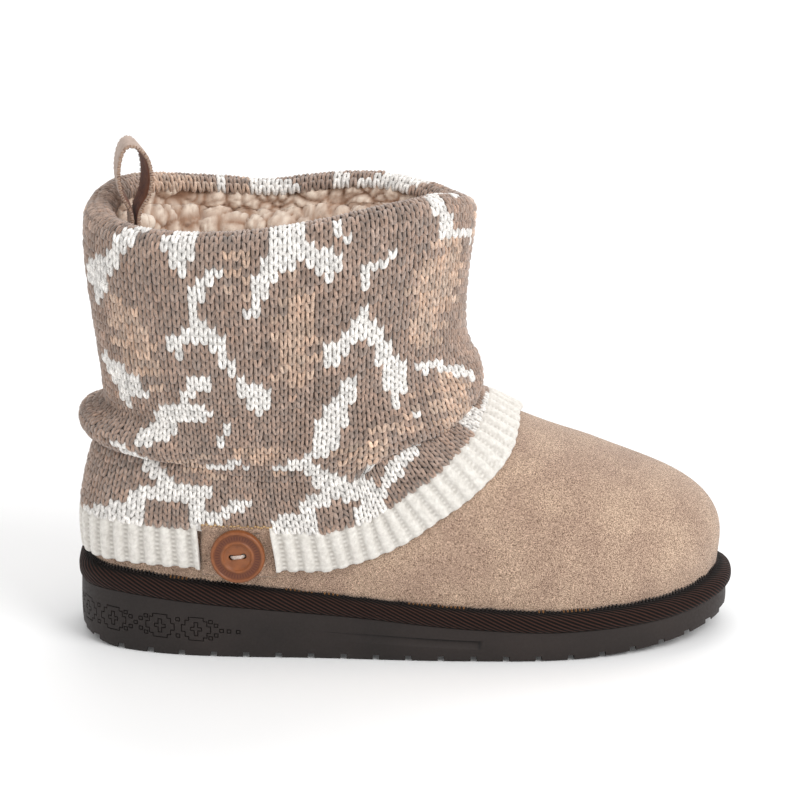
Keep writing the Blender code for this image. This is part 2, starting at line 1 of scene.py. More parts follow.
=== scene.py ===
"""Looks of the knit ankle boot: every piece that shows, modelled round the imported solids.

Frame: +X to the toe, +Y to the inner (medial) side, +Z up, the floor at Z = 0. The tables and the
functions of the form are in millimetres; MM turns them into metres when a mesh is laid.
"""

from math import cos, pi, radians, sin

import bpy
import numpy as np
from mathutils import Matrix, Vector, noise


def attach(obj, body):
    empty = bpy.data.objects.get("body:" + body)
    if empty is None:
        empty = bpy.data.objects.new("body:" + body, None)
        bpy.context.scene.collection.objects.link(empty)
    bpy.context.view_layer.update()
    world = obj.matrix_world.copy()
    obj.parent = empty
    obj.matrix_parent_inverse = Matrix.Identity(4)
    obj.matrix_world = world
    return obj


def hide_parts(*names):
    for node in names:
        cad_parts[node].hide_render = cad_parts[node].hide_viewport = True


MM = 0.001
GAP = 0.35  # between two pieces that lie on each other

# ==== Form of the boot, as the solids have it ====

PLAN = ("front_x", "back_x", "lateral", "medial", "wide_x", "nose", "heel", "arch", "toe_in")
OUTSOLE_PLAN = (138, -138.5, 50.3, 50.6, 42, 2.25, 3.2, 11, 8)
ARCH_X = -40
ARCH_REACH = 42
LATERAL_WAIST = 0.28
QUARTER_STEPS = 90  # of an outline, from its front to its widest place and on to its back

SOLE_HEIGHTS = (
    # along, bottom, rubber top, midsole top
    (-139, 3, 25.4, 34.4),
    (-122, 0, 25.8, 34.4),
    (-91, 0, 24, 32.8),
    (-54, 0, 21.2, 29.8),
    (-18, 0, 18.6, 26.2),
    (28, 0, 14.4, 22.4),
    (66, 0, 12.7, 20.6),
    (90, 1, 13, 21),
    (115, 3.2, 14.2, 22.4),
    (140, 7.6, 17.6, 26.4),
)
RUBBER_EDGE = (
    # outwards from the plan outline, share of the rubber's height
    (-1.4, 0), (-0.3, 0.07), (0.2, 0.5), (0, 1),
)
WRAP_EDGE = (
    # share of the bulge, outwards from the plan outline, share of the midsole's height
    (0.2, 0, 0),
    (0.85, 0, 0.2),
    (1, 0, 0.45),
    (0.7, 0, 0.72),
    (0.2, -1.6, 0.92),
    (0, -4, 1),
)
WRAP_BULGE_HEEL = 1.1
WRAP_BULGE_TOE = 2.4
LUGS = 24
GROOVE_WIDTH = 2.7
GROOVE_DEPTH = 2.5
INSOLE_THICK = 5

RING = ("front_x", "front_z", "back_x", "back_z", "lateral", "medial", "wide_x", "nose", "heel",
        "arch", "toe_in", "follow")
UPPER_RINGS = (
    (133.5, 26.1, -134, 34.8, 46.3, 46.8, 42, 2.25, 3.1, 9, 8, 1),
    (135.2, 40, -135.2, 46, 47.6, 48.2, 40, 2.2, 3, 7, 8, 0.6),
    (132.9, 49.6, -134.4, 57.5, 47.2, 47.6, 34, 2.15, 2.9, 5, 8, 0.4),
    (126.7, 57.9, -132.9, 67, 46.2, 46.4, 27, 2.1, 2.8, 4, 7, 0.2),
    (114, 66.6, -131.2, 75.5, 45, 45, 14, 2, 2.7, 3, 6, 0.1),
    (93, 75.4, -129.4, 83.5, 44.4, 44.4, 0, 1.92, 2.6, 2, 4.5, 0),
    (70, 84.3, -127.6, 91.5, 44.4, 44.4, -15, 1.85, 2.5, 1, 3, 0),
    (48, 92.6, -126.2, 99, 44.8, 44.8, -30, 1.82, 2.45, 0, 2, 0),
    (33, 100.2, -125.3, 105.5, 45.4, 45.4, -40, 1.9, 2.4, 0, 1, 0),
    (25, 111, -125.2, 113, 46, 46, -47, 2, 2.4, 0, 0, 0),
    (22.2, 124, -126.6, 124.5, 46.8, 46.8, -51, 2.15, 2.4, 0, 0, 0),
    (22.4, 146, -129.3, 145, 48.2, 48.2, -53, 2.25, 2.4, 0, 0, 0),
    (24.6, 166.5, -131.4, 164.5, 49.3, 49.3, -53, 2.3, 2.4, 0, 0, 0),
    (26.6, 182.6, -131.6, 180.8, 49.6, 49.6, -53, 2.3, 2.4, 0, 0, 0),
)
TOP_LEVEL = len(UPPER_RINGS) - 1
UPPER_WALL = 7
COLLAR_LINE = (
    # degrees round the shaft, how much higher the collar's edge is than its row of the table
    (-180, 0.3), (-140, -2.6), (-115, -1.7), (-90, 0.8), (-65, 4.1), (-45, 7.4),
    (-28, 8.5), (-12, 5), (0, 0.5), (14, -2.6), (30, -1.2), (48, 0.6), (64, 0),
    (98, -3.2), (130, -0.2), (157, 3.8), (180, 0.3),
)
COLLAR_LINE_FROM = 8
SHAFT_CENTRE_X = -50

HEM_HEIGHTS = (
    # degrees round the shaft from the front, height of the hem's edge
    (0, 92.6), (8, 90.6), (16, 86), (25, 77.6), (34, 64.2), (43, 52),
    (54, 44.4), (72, 39.3), (100, 39.2), (140, 39.3), (180, 38.2),
)
SLOUCH_FOLD = (
    # round, crease, crest, how far it stands proud, reach above, how much of a lip it has
    (0, 105, 115, 5.5, 14, 1),
    (12, 101.5, 112, 5.6, 14, 1),
    (25, 95.6, 107, 5.5, 15, 1),
    (45, 90.2, 101, 4.6, 16, 0.9),
    (52, 86, 97.5, 4, 16, 0.6),
    (60, 80.5, 94, 3.2, 16, 0.3),
    (85, 78, 90, 2, 15, 0),
    (115, 80, 90, 1.8, 14, 0),
    (132, 83, 90.5, 2.6, 11, 0.1),
    (144, 85, 92, 5.6, 7.5, 0.9),
    (156, 86, 93.5, 7.6, 6, 1),
    (180, 87, 94.5, 8.4, 6.5, 1),
)
KNIT_EASE = 0.8

TAB_FROM = -131.6
TAB_TO = -95.4
TAB_BOTTOM = 36
TAB_TOP = 60.2
TAB_THICK = 1.7


def smooth_curve(stations, values, level_ends=False):
    """A curve through the values at these stations that never overshoots them."""
    xs = np.asarray(stations, float)
    ys = np.asarray(values, float)
    step = np.diff(xs)
    slope = np.diff(ys) / step
    tangent = np.zeros_like(ys)
    if not level_ends:
        tangent[0], tangent[-1] = slope[0], slope[-1]
    for i in range(1, len(xs) - 1):
        if slope[i - 1] * slope[i] > 0:
            before = 2 * step[i] + step[i - 1]
            after = step[i] + 2 * step[i - 1]
            tangent[i] = (before + after) / (before / slope[i - 1] + after / slope[i])

    def at(x):
        i = np.clip(np.searchsorted(xs, x) - 1, 0, len(xs) - 2)
        t = np.clip((x - xs[i]) / step[i], 0.0, 1.0)
        return (
            ys[i] * (1 + 2 * t) * (1 - t) ** 2
            + tangent[i] * step[i] * t * (1 - t) ** 2
            + ys[i + 1] * t * t * (3 - 2 * t)
            + tangent[i + 1] * step[i] * t * t * (t - 1)
        )

    return at


def natural_spline(rows):
    """A natural cubic spline through the rows of a table, read at any number between two rows."""
    table = np.asarray(rows, float)
    count = len(table)
    matrix = np.eye(count)
    right = np.zeros_like(table)
    for i in range(1, count - 1):
        matrix[i, i - 1 : i + 2] = (1, 4, 1)
        right[i] = 6 * (table[i + 1] - 2 * table[i] + table[i - 1])
    bend = np.linalg.solve(matrix, right)

    def at(level):
        i = min(max(int(level), 0), count - 2)
        b = level - i
        a = 1 - b
        cubic = ((a**3 - a) * bend[i] + (b**3 - b) * bend[i + 1]) / 6
        return a * table[i] + b * table[i + 1] + cubic

    return at


def around_table(rows, column):
    """A column of a table whose first column goes from 0 at the front to 180 at the back."""
    table = np.array(rows)
    curve = smooth_curve(table[:, 0], table[:, column], level_ends=True)
    return lambda angle: curve(np.abs(signed_degrees(angle)))


def signed_degrees(angle):
    """An angle in degrees, from -180 to 180."""
    return (np.degrees(angle) + 180) % 360 - 180


def smooth_step(low, high, value):
    """A soft step from 0 to 1; it falls where `low` is the larger one."""
    t = np.clip((value - low) / (high - low), 0, 1)
    return t * t * (3 - 2 * t)


sole_bottom, rubber_top, midsole_top = (
    smooth_curve([row[0] for row in SOLE_HEIGHTS], [row[column] for row in SOLE_HEIGHTS])
    for column in (1, 2, 3)
)
collar_line = smooth_curve(*zip(*COLLAR_LINE), level_ends=True)
upper_row = natural_spline(UPPER_RINGS)
hem_height = around_table(HEM_HEIGHTS, 1)
fold_crease, fold_crest, fold_proud, fold_above, fold_lip = (
    around_table(SLOUCH_FOLD, column) for column in (1, 2, 3, 4, 5)
)


def unit(vectors):
    return vectors / np.maximum(np.linalg.norm(vectors, axis=-1, keepdims=True), 1e-12)


def closed(line):
    """The line with its first point again at its end."""
    return np.concatenate([line, line[:1]])


def distances(line):
    """The distance of each point along a line, from its first one."""
    return np.concatenate([[0], np.cumsum(np.linalg.norm(np.diff(line, axis=0), axis=1))])


def read_along(line, run, wanted):
    """Points of a line whose own points lie at `run`, at the wanted places along it."""
    return np.stack([np.interp(wanted, run, column) for column in line.T], -1)


def between(table, i, j, j_next, u, v):
    """A table read between its rows i and i + 1, and its columns j and j_next."""
    low = table[i, j] * (1 - u) + table[i, j_next] * u
    high = table[i + 1, j] * (1 - u) + table[i + 1, j_next] * u
    return low * (1 - v) + high * v


def oval(p):
    """A fine ring in plan, counterclockwise from its front, and the steps on each of its sides."""
    angles = np.linspace(0, pi / 2, QUARTER_STEPS + 1)
    c, s = np.cos(angles), np.sin(angles)
    front = p["wide_x"] + (p["front_x"] - p["wide_x"]) * c ** (2 / p["nose"])
    back = p["wide_x"] - (p["wide_x"] - p["back_x"]) * c[::-1] ** (2 / p["heel"])
    x = np.concatenate([front, back[1:]])
    width = np.concatenate([s ** (2 / p["nose"]), s[::-1][1:] ** (2 / p["heel"])])
    ahead = np.clip((x - p["wide_x"]) / (p["front_x"] - p["wide_x"]), 0, 1)
    middle = p["toe_in"] * ahead**2
    waist = p["arch"] * np.exp(-(((x - ARCH_X) / ARCH_REACH) ** 2)) * np.minimum(1, 1.5 * width)
    medial = middle + width * p["medial"] - waist
    lateral = middle - width * p["lateral"] + LATERAL_WAIST * waist
    ring = np.concatenate([np.stack([x, medial], 1), np.stack([x, lateral], 1)[-2:0:-1]])
    return ring, len(x) - 1


def even_steps(line, steps):
    """The line with its points at even steps."""
    run = distances(line)
    return read_along(line, run, np.linspace(0, run[-1], steps + 1))


def even_ring(ring, side, count):
    """The ring at even steps, half of them on each side of the boot."""
    medial = even_steps(ring[: side + 1], count // 2)
    lateral = even_steps(closed(ring)[side:], count // 2)
    return np.concatenate([medial[:-1], lateral[:-1]])


def angle_of(points):
    """The direction of each point from the shaft's middle, in radians."""
    return np.arctan2(points[..., 1], points[..., 0] - SHAFT_CENTRE_X)


def sole_outline(outwards, ring):
    """A plan ring moved outwards by this much, which may differ from point to point."""
    along = np.roll(ring, -1, 0) - np.roll(ring, 1, 0)
    normal = unit(np.stack([along[:, 1], -along[:, 0]], 1))
    return ring + normal * np.reshape(outwards, (-1, 1))


def upper_ring(level):
    """The upper's outer face at this level between two rows of its table, as a fine ring."""
    p = dict(zip(RING, upper_row(level)))
    plan, side = oval(p)
    share = (plan[:, 0] - p["back_x"]) / (p["front_x"] - p["back_x"])
    straight = p["back_z"] + (p["front_z"] - p["back_z"]) * share
    first = dict(zip(RING, UPPER_RINGS[0]))
    foot_x = first["back_x"] + (first["front_x"] - first["back_x"]) * share
    chord = first["back_z"] + (first["front_z"] - first["back_z"]) * share
    dip = midsole_top(foot_x) + GAP - chord
    rise = np.clip((level - COLLAR_LINE_FROM) / (TOP_LEVEL - COLLAR_LINE_FROM), 0, 1) ** 2
    z = straight + p["follow"] * dip + rise * collar_line(signed_degrees(angle_of(plan)))
    return np.column_stack([plan, z]), side


def upper_at(level, angles):
    """Points of the outer face in these directions."""
    ring, _ = upper_ring(level)
    around = np.unwrap(angle_of(ring))
    around = np.append(around, around[0] + 2 * pi)
    wanted = np.mod(angles - around[0], 2 * pi) + around[0]
    return read_along(closed(ring), around, wanted)


def outward(grid):
    """Normals of a grid of points whose rows are closed rings, counterclockwise, lowest first."""
    around = np.roll(grid, -1, 1) - np.roll(grid, 1, 1)
    return unit(np.cross(around, np.gradient(grid, axis=0)))


class UpperFace:
    """The upper's outer face, read by direction round the shaft and height."""

    LOW, HIGH = 20.0, 205.0
    STEP = 0.5
    TURNS = 720
    FINE_LEVELS = 10  # read for each row of the table

    def __init__(self):
        self.fan = np.linspace(0, 2 * pi, self.TURNS + 1)
        levels = np.linspace(0, TOP_LEVEL, self.FINE_LEVELS * TOP_LEVEL + 1)
        grid = np.stack([upper_at(level, self.fan) for level in levels])
        self.heights = np.arange(self.LOW, self.HIGH, self.STEP)
        reach = np.hypot(grid[..., 0] - SHAFT_CENTRE_X, grid[..., 1])
        columns = zip(grid[..., 2].T, reach.T)
        self.reach = np.stack([np.interp(self.heights, z, out) for z, out in columns], 1)
        self.by_height = np.gradient(self.reach, self.STEP, axis=0)
        ring = self.reach[:, :-1]
        turn = (np.roll(ring, -1, 1) - np.roll(ring, 1, 1)) / (2 * self.fan[1])
        self.by_turn = np.concatenate([turn, turn[:, :1]], 1)
        self.top = grid[-1, :, 2]

    def read(self, table, angle, z):
        a = np.mod(angle, 2 * pi) / (2 * pi) * self.TURNS
        h = np.clip((z - self.LOW) / self.STEP, 0, len(self.heights) - 1.001)
        i, j = h.astype(int), np.minimum(a.astype(int), self.TURNS - 1)
        return between(table, i, j, j + 1, a - j, h - i)

    def at(self, angle, z, off=0.0):
        """Points this far off the face, and the face's normals there."""
        angle, z = np.broadcast_arrays(np.asarray(angle, float), np.asarray(z, float))
        r = self.read(self.reach, angle, z)
        r_turn = self.read(self.by_turn, angle, z)
        r_rise = self.read(self.by_height, angle, z)
        c, s = np.cos(angle), np.sin(angle)
        point = np.stack([SHAFT_CENTRE_X + r * c, r * s, z], -1)
        turn = np.stack([r_turn * c - r * s, r_turn * s + r * c, 0 * r], -1)
        rise = np.stack([r_rise * c, r_rise * s, 1 + 0 * r], -1)
        normal = unit(np.cross(turn, rise))
        return point + normal * np.asarray(off)[..., None], normal

    def collar(self, angle):
        """The height of the collar's edge."""
        return np.interp(np.mod(angle, 2 * pi), self.fan, self.top)


FACE = UpperFace()


# ==== The knit: a tube of stitches laid over the upper, in wales round and courses up ====

WALES = 112
LONG_COURSE, SHORT_COURSE = 3.75, 2.85  # in millimetres, up on the shaft and down at the ankle
CHART_ROWS = 35  # of the pattern, from the collar to the top of the rib
FINE = 4  # columns of the fine grid in a wale, and rows of it in a course
RIB_HEIGHT = 17
KNIT_MIDDLE = KNIT_EASE + 1.9  # from the upper to the middle of the yarn
TIGHTEST = 0.965  # a course shorter than this share of its gauge is folded away
FOLD_OPENS = 0.06  # below that share, the fold is fully a fold
HEM_SPREAD = 0.3  # of the columns along the hem: 1 is even, 0 is straight under the shaft
EVENING = 0.06  # how fast the columns go back to that spacing as they leave the hem, per millimetre
LIP_TUCK = 7  # how far the cloth goes on behind the lip of the fold
LIP_CLEARANCE = 1.4  # between it and the cloth in front of it
LIP_HIDES = 2  # how far past the crease stitches are still laid in the fold
BAND_REACH = 66  # how far up the band's columns are followed, in millimetres
SHAFT_POINTS = 200  # of a column's line from the collar to the crease
FIRST_ROWS = {"band": -7 * FINE, "shaft": -9 * FINE}  # counted from the rib, and from the rim
NEAR_HEEL = 0.6  # cosine of half the angle round, under which a column counts as at the back
HOLLOW_DEEP = 1.8  # of the cloth drawn in above the roll at the back
FIRST_COURSE, LAST_COURSE = -16, 90  # of the table, counted from the collar down
TIGHTENS_FROM, TIGHTENS_TO = 13.5, 20  # the courses between which they go from long to short

course_table = np.arange(FIRST_COURSE, LAST_COURSE)
tightening = smooth_step(TIGHTENS_FROM, TIGHTENS_TO, course_table[:-1] + 0.5)
run_table = np.append(0, np.cumsum(LONG_COURSE + (SHORT_COURSE - LONG_COURSE) * tightening))
run_table -= run_table[-FIRST_COURSE]


def run_to(course):
    """The millimetres of cloth in this many courses down from the collar."""
    return np.interp(course, course_table, run_table)


def courses_in(run):
    """How many courses lie in this many millimetres of cloth."""
    return np.interp(run, run_table, course_table)


def run_of(lines):
    """Distance along each column of a grid of points, from its first row."""
    steps = np.linalg.norm(np.diff(lines, axis=0), axis=-1)
    return np.concatenate([np.zeros((1, steps.shape[1])), np.cumsum(steps, axis=0)])


def closed_run(angle, z):
    """Distance along a closed line on the upper, from its first point round to it again."""
    points, _ = FACE.at(closed(angle), closed(z))
    return distances(points)


def re_spaced(angle, z, share, pattern):
    """The same closed line with its points moved by this share towards the pattern's spacing."""
    run = closed_run(angle, z)
    wanted = (1 - share) * run + share * pattern * run[-1]
    turned = np.interp(wanted, run, np.append(angle, angle[0] + 2 * pi))[:-1]
    return turned, np.interp(wanted, run, closed(z))[:-1]


def ring_mean(values, reach):
    return sum(np.roll(values, k, 0) for k in range(-reach, reach + 1)) / (2 * reach + 1)


def angle_turns(before, now):
    """The whole turns that bring one angle nearest to another."""
    return round((before - now) / (2 * pi)) * 2 * pi


def band_lines(shaft_angle):
    """Columns of the knit that go up square to the hem: angles and heights, a row a millimetre."""
    fan = np.linspace(0, 2 * pi, 721)
    run = closed_run(fan[:-1], hem_height(fan[:-1]))
    even = np.interp(np.linspace(0, run[-1], len(shaft_angle) + 1)[:-1], run, fan)
    angle = shaft_angle + HEM_SPREAD * (even - shaft_angle)
    z = hem_height(angle)
    run = closed_run(angle, z)
    pattern = run / run[-1]
    rows = [(angle, z)]
    for _ in range(BAND_REACH):
        points, normal = FACE.at(angle, z)
        along = np.roll(points, -1, 0) - np.roll(points, 1, 0)
        up = unit(ring_mean(np.cross(normal, unit(along)), 5))
        moved = points + up
        angle = np.unwrap(angle_of(moved))
        angle += angle_turns(rows[-1][0][0], angle[0])
        angle, z = re_spaced(angle, moved[:, 2], EVENING, pattern)
        rows.append((angle, z))
    return np.stack([row[0] for row in rows]), np.stack([row[1] for row in rows])


def fold_off(angle, z):
    """How far the shaft's knit stands off at and above the crease of the slouch fold."""
    crease, crest = fold_crease(angle), fold_crest(angle)
    share = np.clip((z - crease) / (crest - crease), 0, 1)
    lip = np.sqrt(1 - (1 - share) ** 2) ** 0.9
    soft = np.sin(share * pi / 2) ** 2
    below = fold_lip(angle) * lip + (1 - fold_lip(angle)) * soft
    above = np.exp(-((np.maximum(z - crest, 0) / fold_above(angle)) ** 2) * 1.6)
    from_back = np.abs(np.mod(angle, 2 * pi) - pi)
    hollow = HOLLOW_DEEP * smooth_step(radians(44), radians(30), from_back)
    hollow = hollow * np.exp(-(((z - crest - 8.5) / 4.0) ** 2))
    return fold_proud(angle) * np.where(z < crest, below, above) - hollow


def sampled(lines, run, wanted):
    """Points of each column's line at these distances along it."""
    columns = range(lines.shape[1])
    return np.stack([read_along(lines[:, i], run[:, i], wanted[:, i]) for i in columns], 1)


class Knit:
    """Where each wale and course lies: on the `band` from the hem, on the `shaft` from the top."""

    def __init__(self):
        columns = WALES * FINE
        shaft_ring = even_ring(*upper_ring(TOP_LEVEL - 2), columns)
        shaft_angle = np.unwrap(angle_of(shaft_ring))
        shaft_angle += angle_turns(0.0, shaft_angle[0])
        angle, z = band_lines(shaft_angle)
        crease = fold_crease(angle)
        past = np.argmax(z > crease, axis=0)
        column = np.arange(columns)
        low, high = (z - crease)[past - 1, column], (z - crease)[past, column]
        cut = past - 1 + low / (low - high)  # where each column meets the crease, in millimetres
        at_cut = np.array([np.interp(cut[i], np.arange(len(z)), angle[:, i]) for i in column])

        down = shaft_lines(shaft_angle)
        down_run = run_of(down)
        shaft_length = down_run[-1]
        whole = cut - RIB_HEIGHT + shaft_length
        at_back = np.abs(np.cos(shaft_angle / 2)) < NEAR_HEEL
        courses = int(courses_in(np.median(whole[at_back])))
        gauge = whole / run_to(courses)
        folded = smooth_step(1.0, TIGHTEST - FOLD_OPENS, gauge)[None]
        gauge = np.maximum(gauge, TIGHTEST)

        # Where nothing is folded away, the band's columns run into the shaft's.
        mm = np.arange(len(z))[:, None]
        angle = angle + (shaft_angle - at_cut) * smooth_step(0, 1, mm / cut) * (1 - folded)
        up, _ = FACE.at(angle, z, KNIT_MIDDLE + band_off(mm, cut))
        behind, _ = FACE.at(angle, z, KNIT_MIDDLE + band_off(mm, cut) - LIP_CLEARANCE)

        self.courses = courses
        self.course_length = SHORT_COURSE * gauge
        self.flat = folded[0] < 0.5
        hides = LIP_HIDES * folded[0]
        band_rows = courses - courses_in(run_to(courses) - (cut - RIB_HEIGHT + hides) / gauge)
        shaft_rows = courses_in((shaft_length + hides) / gauge)
        whole_rows = np.round(band_rows)
        self.rows = {"band": np.where(folded[0] > 0, band_rows, whole_rows),
                     "shaft": np.where(folded[0] > 0, shaft_rows, courses - whole_rows)}

        last = int(cut.max() / SHORT_COURSE / TIGHTEST + 3) * FINE
        row = np.arange(FIRST_ROWS["band"], last)[:, None] / FINE
        distance = RIB_HEIGHT + gauge * (run_to(courses) - run_to(courses - row))
        onward = sampled(down[::-1], shaft_length - down_run[::-1], np.maximum(distance - cut, 0))
        hidden = sampled(behind, mm + 0 * cut, distance)
        own = sampled(up, mm + 0 * cut, np.minimum(distance, cut))
        band = joined(own, onward, hidden, distance > cut, folded)

        last = int(courses_in(shaft_length.max() / TIGHTEST) + 3) * FINE
        distance = gauge * run_to(np.arange(FIRST_ROWS["shaft"], last)[:, None] / FINE)
        over = rim_lines(shaft_angle)
        lines = np.concatenate([over[::-1][:-1], down])
        run = run_of(lines)
        run -= run[len(over) - 1].copy()
        past = np.maximum(distance - shaft_length, 0)
        onward = sampled(up[::-1], cut - mm[::-1], past)
        curled = curl_lines(shaft_angle)
        hidden = sampled(curled, run_of(curled), np.minimum(past, LIP_TUCK))
        own = sampled(lines, run, np.minimum(distance, shaft_length))
        shaft = joined(own, onward, hidden, distance > shaft_length, folded)
        self.grids = {"band": band, "shaft": shaft}
        self.normals = {"band": outward(band), "shaft": -outward(shaft)}

    def course_at(self, wale):
        """The length of a course in these wales."""
        return np.interp(np.mod(wale, WALES), np.arange(WALES * FINE) / FINE, self.course_length)

    def chart_rows(self, cloth, course):
        """The pattern's rows at these courses, down from the collar and up from the rib."""
        from_collar = course if cloth == "shaft" else self.courses - course
        down = CHART_ROWS * run_to(from_collar) / run_to(self.courses)
        return down, CHART_ROWS - down

    def place(self, name, wale, course):
        """Points and normals at these wales and courses, which may be fractions."""
        grid, normal = self.grids[name], self.normals[name]
        a = np.mod(wale, WALES) * FINE
        r = np.clip(course * FINE - FIRST_ROWS[name], 0, len(grid) - 1.001)
        i, j = r.astype(int), a.astype(int) % (WALES * FINE)
        j_next = (j + 1) % (WALES * FINE)
        u, v = (a - np.floor(a))[..., None], (r - i)[..., None]
        points, normals = (between(table, i, j, j_next, u, v) for table in (grid, normal))
        return points, unit(normals)


def joined(own, onward, hidden, past, folded):
    """Each column's own cloth, and past the crease the next cloth, or the inside of the fold."""
    after = folded[..., None] * hidden + (1 - folded[..., None]) * onward
    return np.where(past[..., None], after, own)


def band_off(distance, cut):
    """The band lies close at its hem and at the crease, and swells a little between them."""
    share = np.clip(distance / cut, 0, 1.2)
    return 1.0 * np.sin(np.clip(share, 0, 1) * pi) ** 2 - 0.6 * smooth_step(0.9, 1.1, share)


def shaft_lines(angle):
    """The shaft's knit from the collar's edge down to the crease, for each column."""
    crease, top = fold_crease(angle), FACE.collar(angle)
    share = 1 - np.sin(np.linspace(0, pi / 2, SHAFT_POINTS))[:, None]  # closer near the crease
    z = crease + (top - crease) * share
    points, _ = FACE.at(angle, z, KNIT_MIDDLE + fold_off(angle, z))
    return points


def rim_lines(angle):
    """The knit from the collar's edge over the rim and down inside, for each column."""
    top = FACE.collar(angle)
    edge, normal = FACE.at(angle, top)
    lower, _ = FACE.at(angle, top - 2.0)
    up = unit(edge - lower)
    half = UPPER_WALL / 2
    reach = half + KNIT_MIDDLE
    over = [edge - normal * half + (normal * cos(a) + up * sin(a)) * reach
            for a in np.linspace(0, pi, 17)]
    inside = [edge - up * down - normal * (half + reach) for down in np.linspace(1.5, 12.0, 8)]
    return np.stack(over + inside)


def curl_lines(angle):
    """The lip's underside: from the crease inwards and a little up, for each column."""
    crease = fold_crease(angle)
    places = ((0, 0.0), (1.0, -0.8), (2.5, -1.4), (8.0, -1.4))  # how far up, and how far out
    rows = [FACE.at(angle, crease + rise, KNIT_MIDDLE + off)[0] for rise, off in places]
    return np.stack(rows)


# ==== Modelling tools ====


def deselect():
    bpy.ops.object.select_all(action="DESELECT")


def added(operator, **settings):
    """What this operator adds, with nothing else selected."""
    deselect()
    operator(**settings)
    return bpy.context.object


def pick_only(piece):
    deselect()
    piece.select_set(True)
    bpy.context.view_layer.objects.active = piece


def laid_grid(name, points, around=False, over=False):
    """A grid whose points are laid on these, a row after another.

    `around` joins its last column to its first, and `over` its last row to its first. Points of one
    place are merged, so a row that ends in one point closes the piece.
    """
    if around:
        points = np.concatenate([points, points[:, :1]], 1)
    if over:
        points = closed(points)
    rows, columns = points.shape[:2]
    steps = {"x_subdivisions": columns - 1, "y_subdivisions": rows - 1}
    piece = added(bpy.ops.mesh.primitive_grid_add, size=1, **steps)
    piece.name = piece.data.name = name
    move_to(piece, points)
    edit(piece, merge)
    piece.data.shade_smooth()
    return piece


def edit(piece, *steps):
    """Runs these steps in edit mode with everything selected."""
    pick_only(piece)
    bpy.ops.object.mode_set(mode="EDIT")
    bpy.ops.mesh.select_all(action="SELECT")
    for step in steps:
        step()
    bpy.ops.object.mode_set(mode="OBJECT")


def merge():
    bpy.ops.mesh.remove_doubles(threshold=1e-6)


def face_out():
    bpy.ops.mesh.normals_make_consistent(inside=False)


def coordinates(piece):
    """The places of the piece's points, in millimetres."""
    found = np.empty(len(piece.data.vertices) * 3, np.float32)
    piece.data.vertices.foreach_get("co", found)
    return found.reshape(-1, 3).astype(float) / MM


def move_to(piece, points):
    """Puts the piece's points at these places, in millimetres."""
    piece.data.vertices.foreach_set("co", (np.asarray(points) * MM).astype(np.float32).ravel())
    piece.data.update()


def join_all(pieces):
    """Joins these pieces into the first one."""
    pick_only(pieces[0])
    for piece in pieces:
        piece.select_set(True)
    bpy.ops.object.join()
    return pieces[0]


def apply_modifier(piece, kind, **settings):
    pick_only(piece)
    modifier = piece.modifiers.new(kind.lower(), kind)
    for name, value in settings.items():
        setattr(modifier, name, value)
    bpy.ops.object.modifier_apply(modifier=modifier.name)


def copies_of(template, name, frames):
    """One mesh with a copy of the template in each frame: rows of origin, x, y and z axes."""
    template.name = template.data.name = name
    shape = coordinates(template)
    apply_modifier(template, "ARRAY", count=len(frames), use_relative_offset=False)
    frames = np.asarray(frames, float)
    placed = frames[:, None, 0] + np.einsum("vk,nkc->nvc", shape, frames[:, 1:])
    move_to(template, placed.reshape(-1, 3))
    template.data.shade_smooth()
    return template


BEAD_BLUNT = 0.45  # how much a grain's ends are filled out: 0 is an ellipsoid, 1 a cylinder


def bead(length, width, height, segments=6, rings=5):
    """A closed grain along Y, blunt at both ends: a stitch, or one leg of a knitted loop."""
    sphere = bpy.ops.mesh.primitive_uv_sphere_add
    piece = added(sphere, segments=segments, ring_count=rings, radius=1.0)
    ball = np.array([tuple(v.co) for v in piece.data.vertices])
    round_about = np.hypot(ball[:, 0], ball[:, 1])
    fuller = np.where(round_about > 1e-6, np.maximum(round_about, 1e-6) ** -BEAD_BLUNT, 0)
    move_to(piece, np.stack([ball[:, 0] * fuller * width / 2, ball[:, 2] * length / 2,
                             ball[:, 1] * fuller * height / 2], 1))
    edit(piece, face_out)
    return piece


def frames_along(points, along, normal):
    """Frames with Y along the line and Z away from the surface."""
    y_axis = unit(along)
    z_axis = unit(normal - y_axis * np.sum(normal * y_axis, -1, keepdims=True))
    x_axis = np.cross(y_axis, z_axis)
    return np.stack([points, x_axis, y_axis, z_axis], 1)


def finish_piece(piece, material, slot, *replaced):
    """Gives a piece its material and its body, and hides the solids that it stands for; the slot is
    not used.
    """
    piece.data.materials.clear()
    piece.data.materials.append(material)
    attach(piece, "root")
    if replaced:
        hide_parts(*replaced)
    return piece


def set_uv(piece, name, uv):
    layer = piece.data.uv_layers.new(name=name)
    layer.data.foreach_set("uv", np.asarray(uv, np.float32).ravel())


def grid_uv(piece):
    """The grid's own map of each corner: shares round and up."""
    uv = np.empty(len(piece.data.loops) * 2, np.float32)
    piece.data.uv_layers[0].data.foreach_get("uv", uv)
    return uv.reshape(-1, 2)


def places_of(points):
    """The points as rounded tuples, by which one place can be looked up in another mesh."""
    return [tuple(point) for point in np.round(points.reshape(-1, 3), 2).tolist()]


def mark_points(piece, name, values):
    layer = piece.data.attributes.new(name, "FLOAT", "POINT")
    layer.data.foreach_set("value", np.asarray(values, np.float32))


def mark_nearest(piece, name, grid, values):
    """Gives each point of the piece the value of the grid's point in the same place."""
    known = {}
    for place, value in zip(places_of(grid), values.ravel()):
        known[place] = max(value, known.get(place, 0.0))
    mark_points(piece, name, [known.get(place, 0.0) for place in places_of(coordinates(piece))])


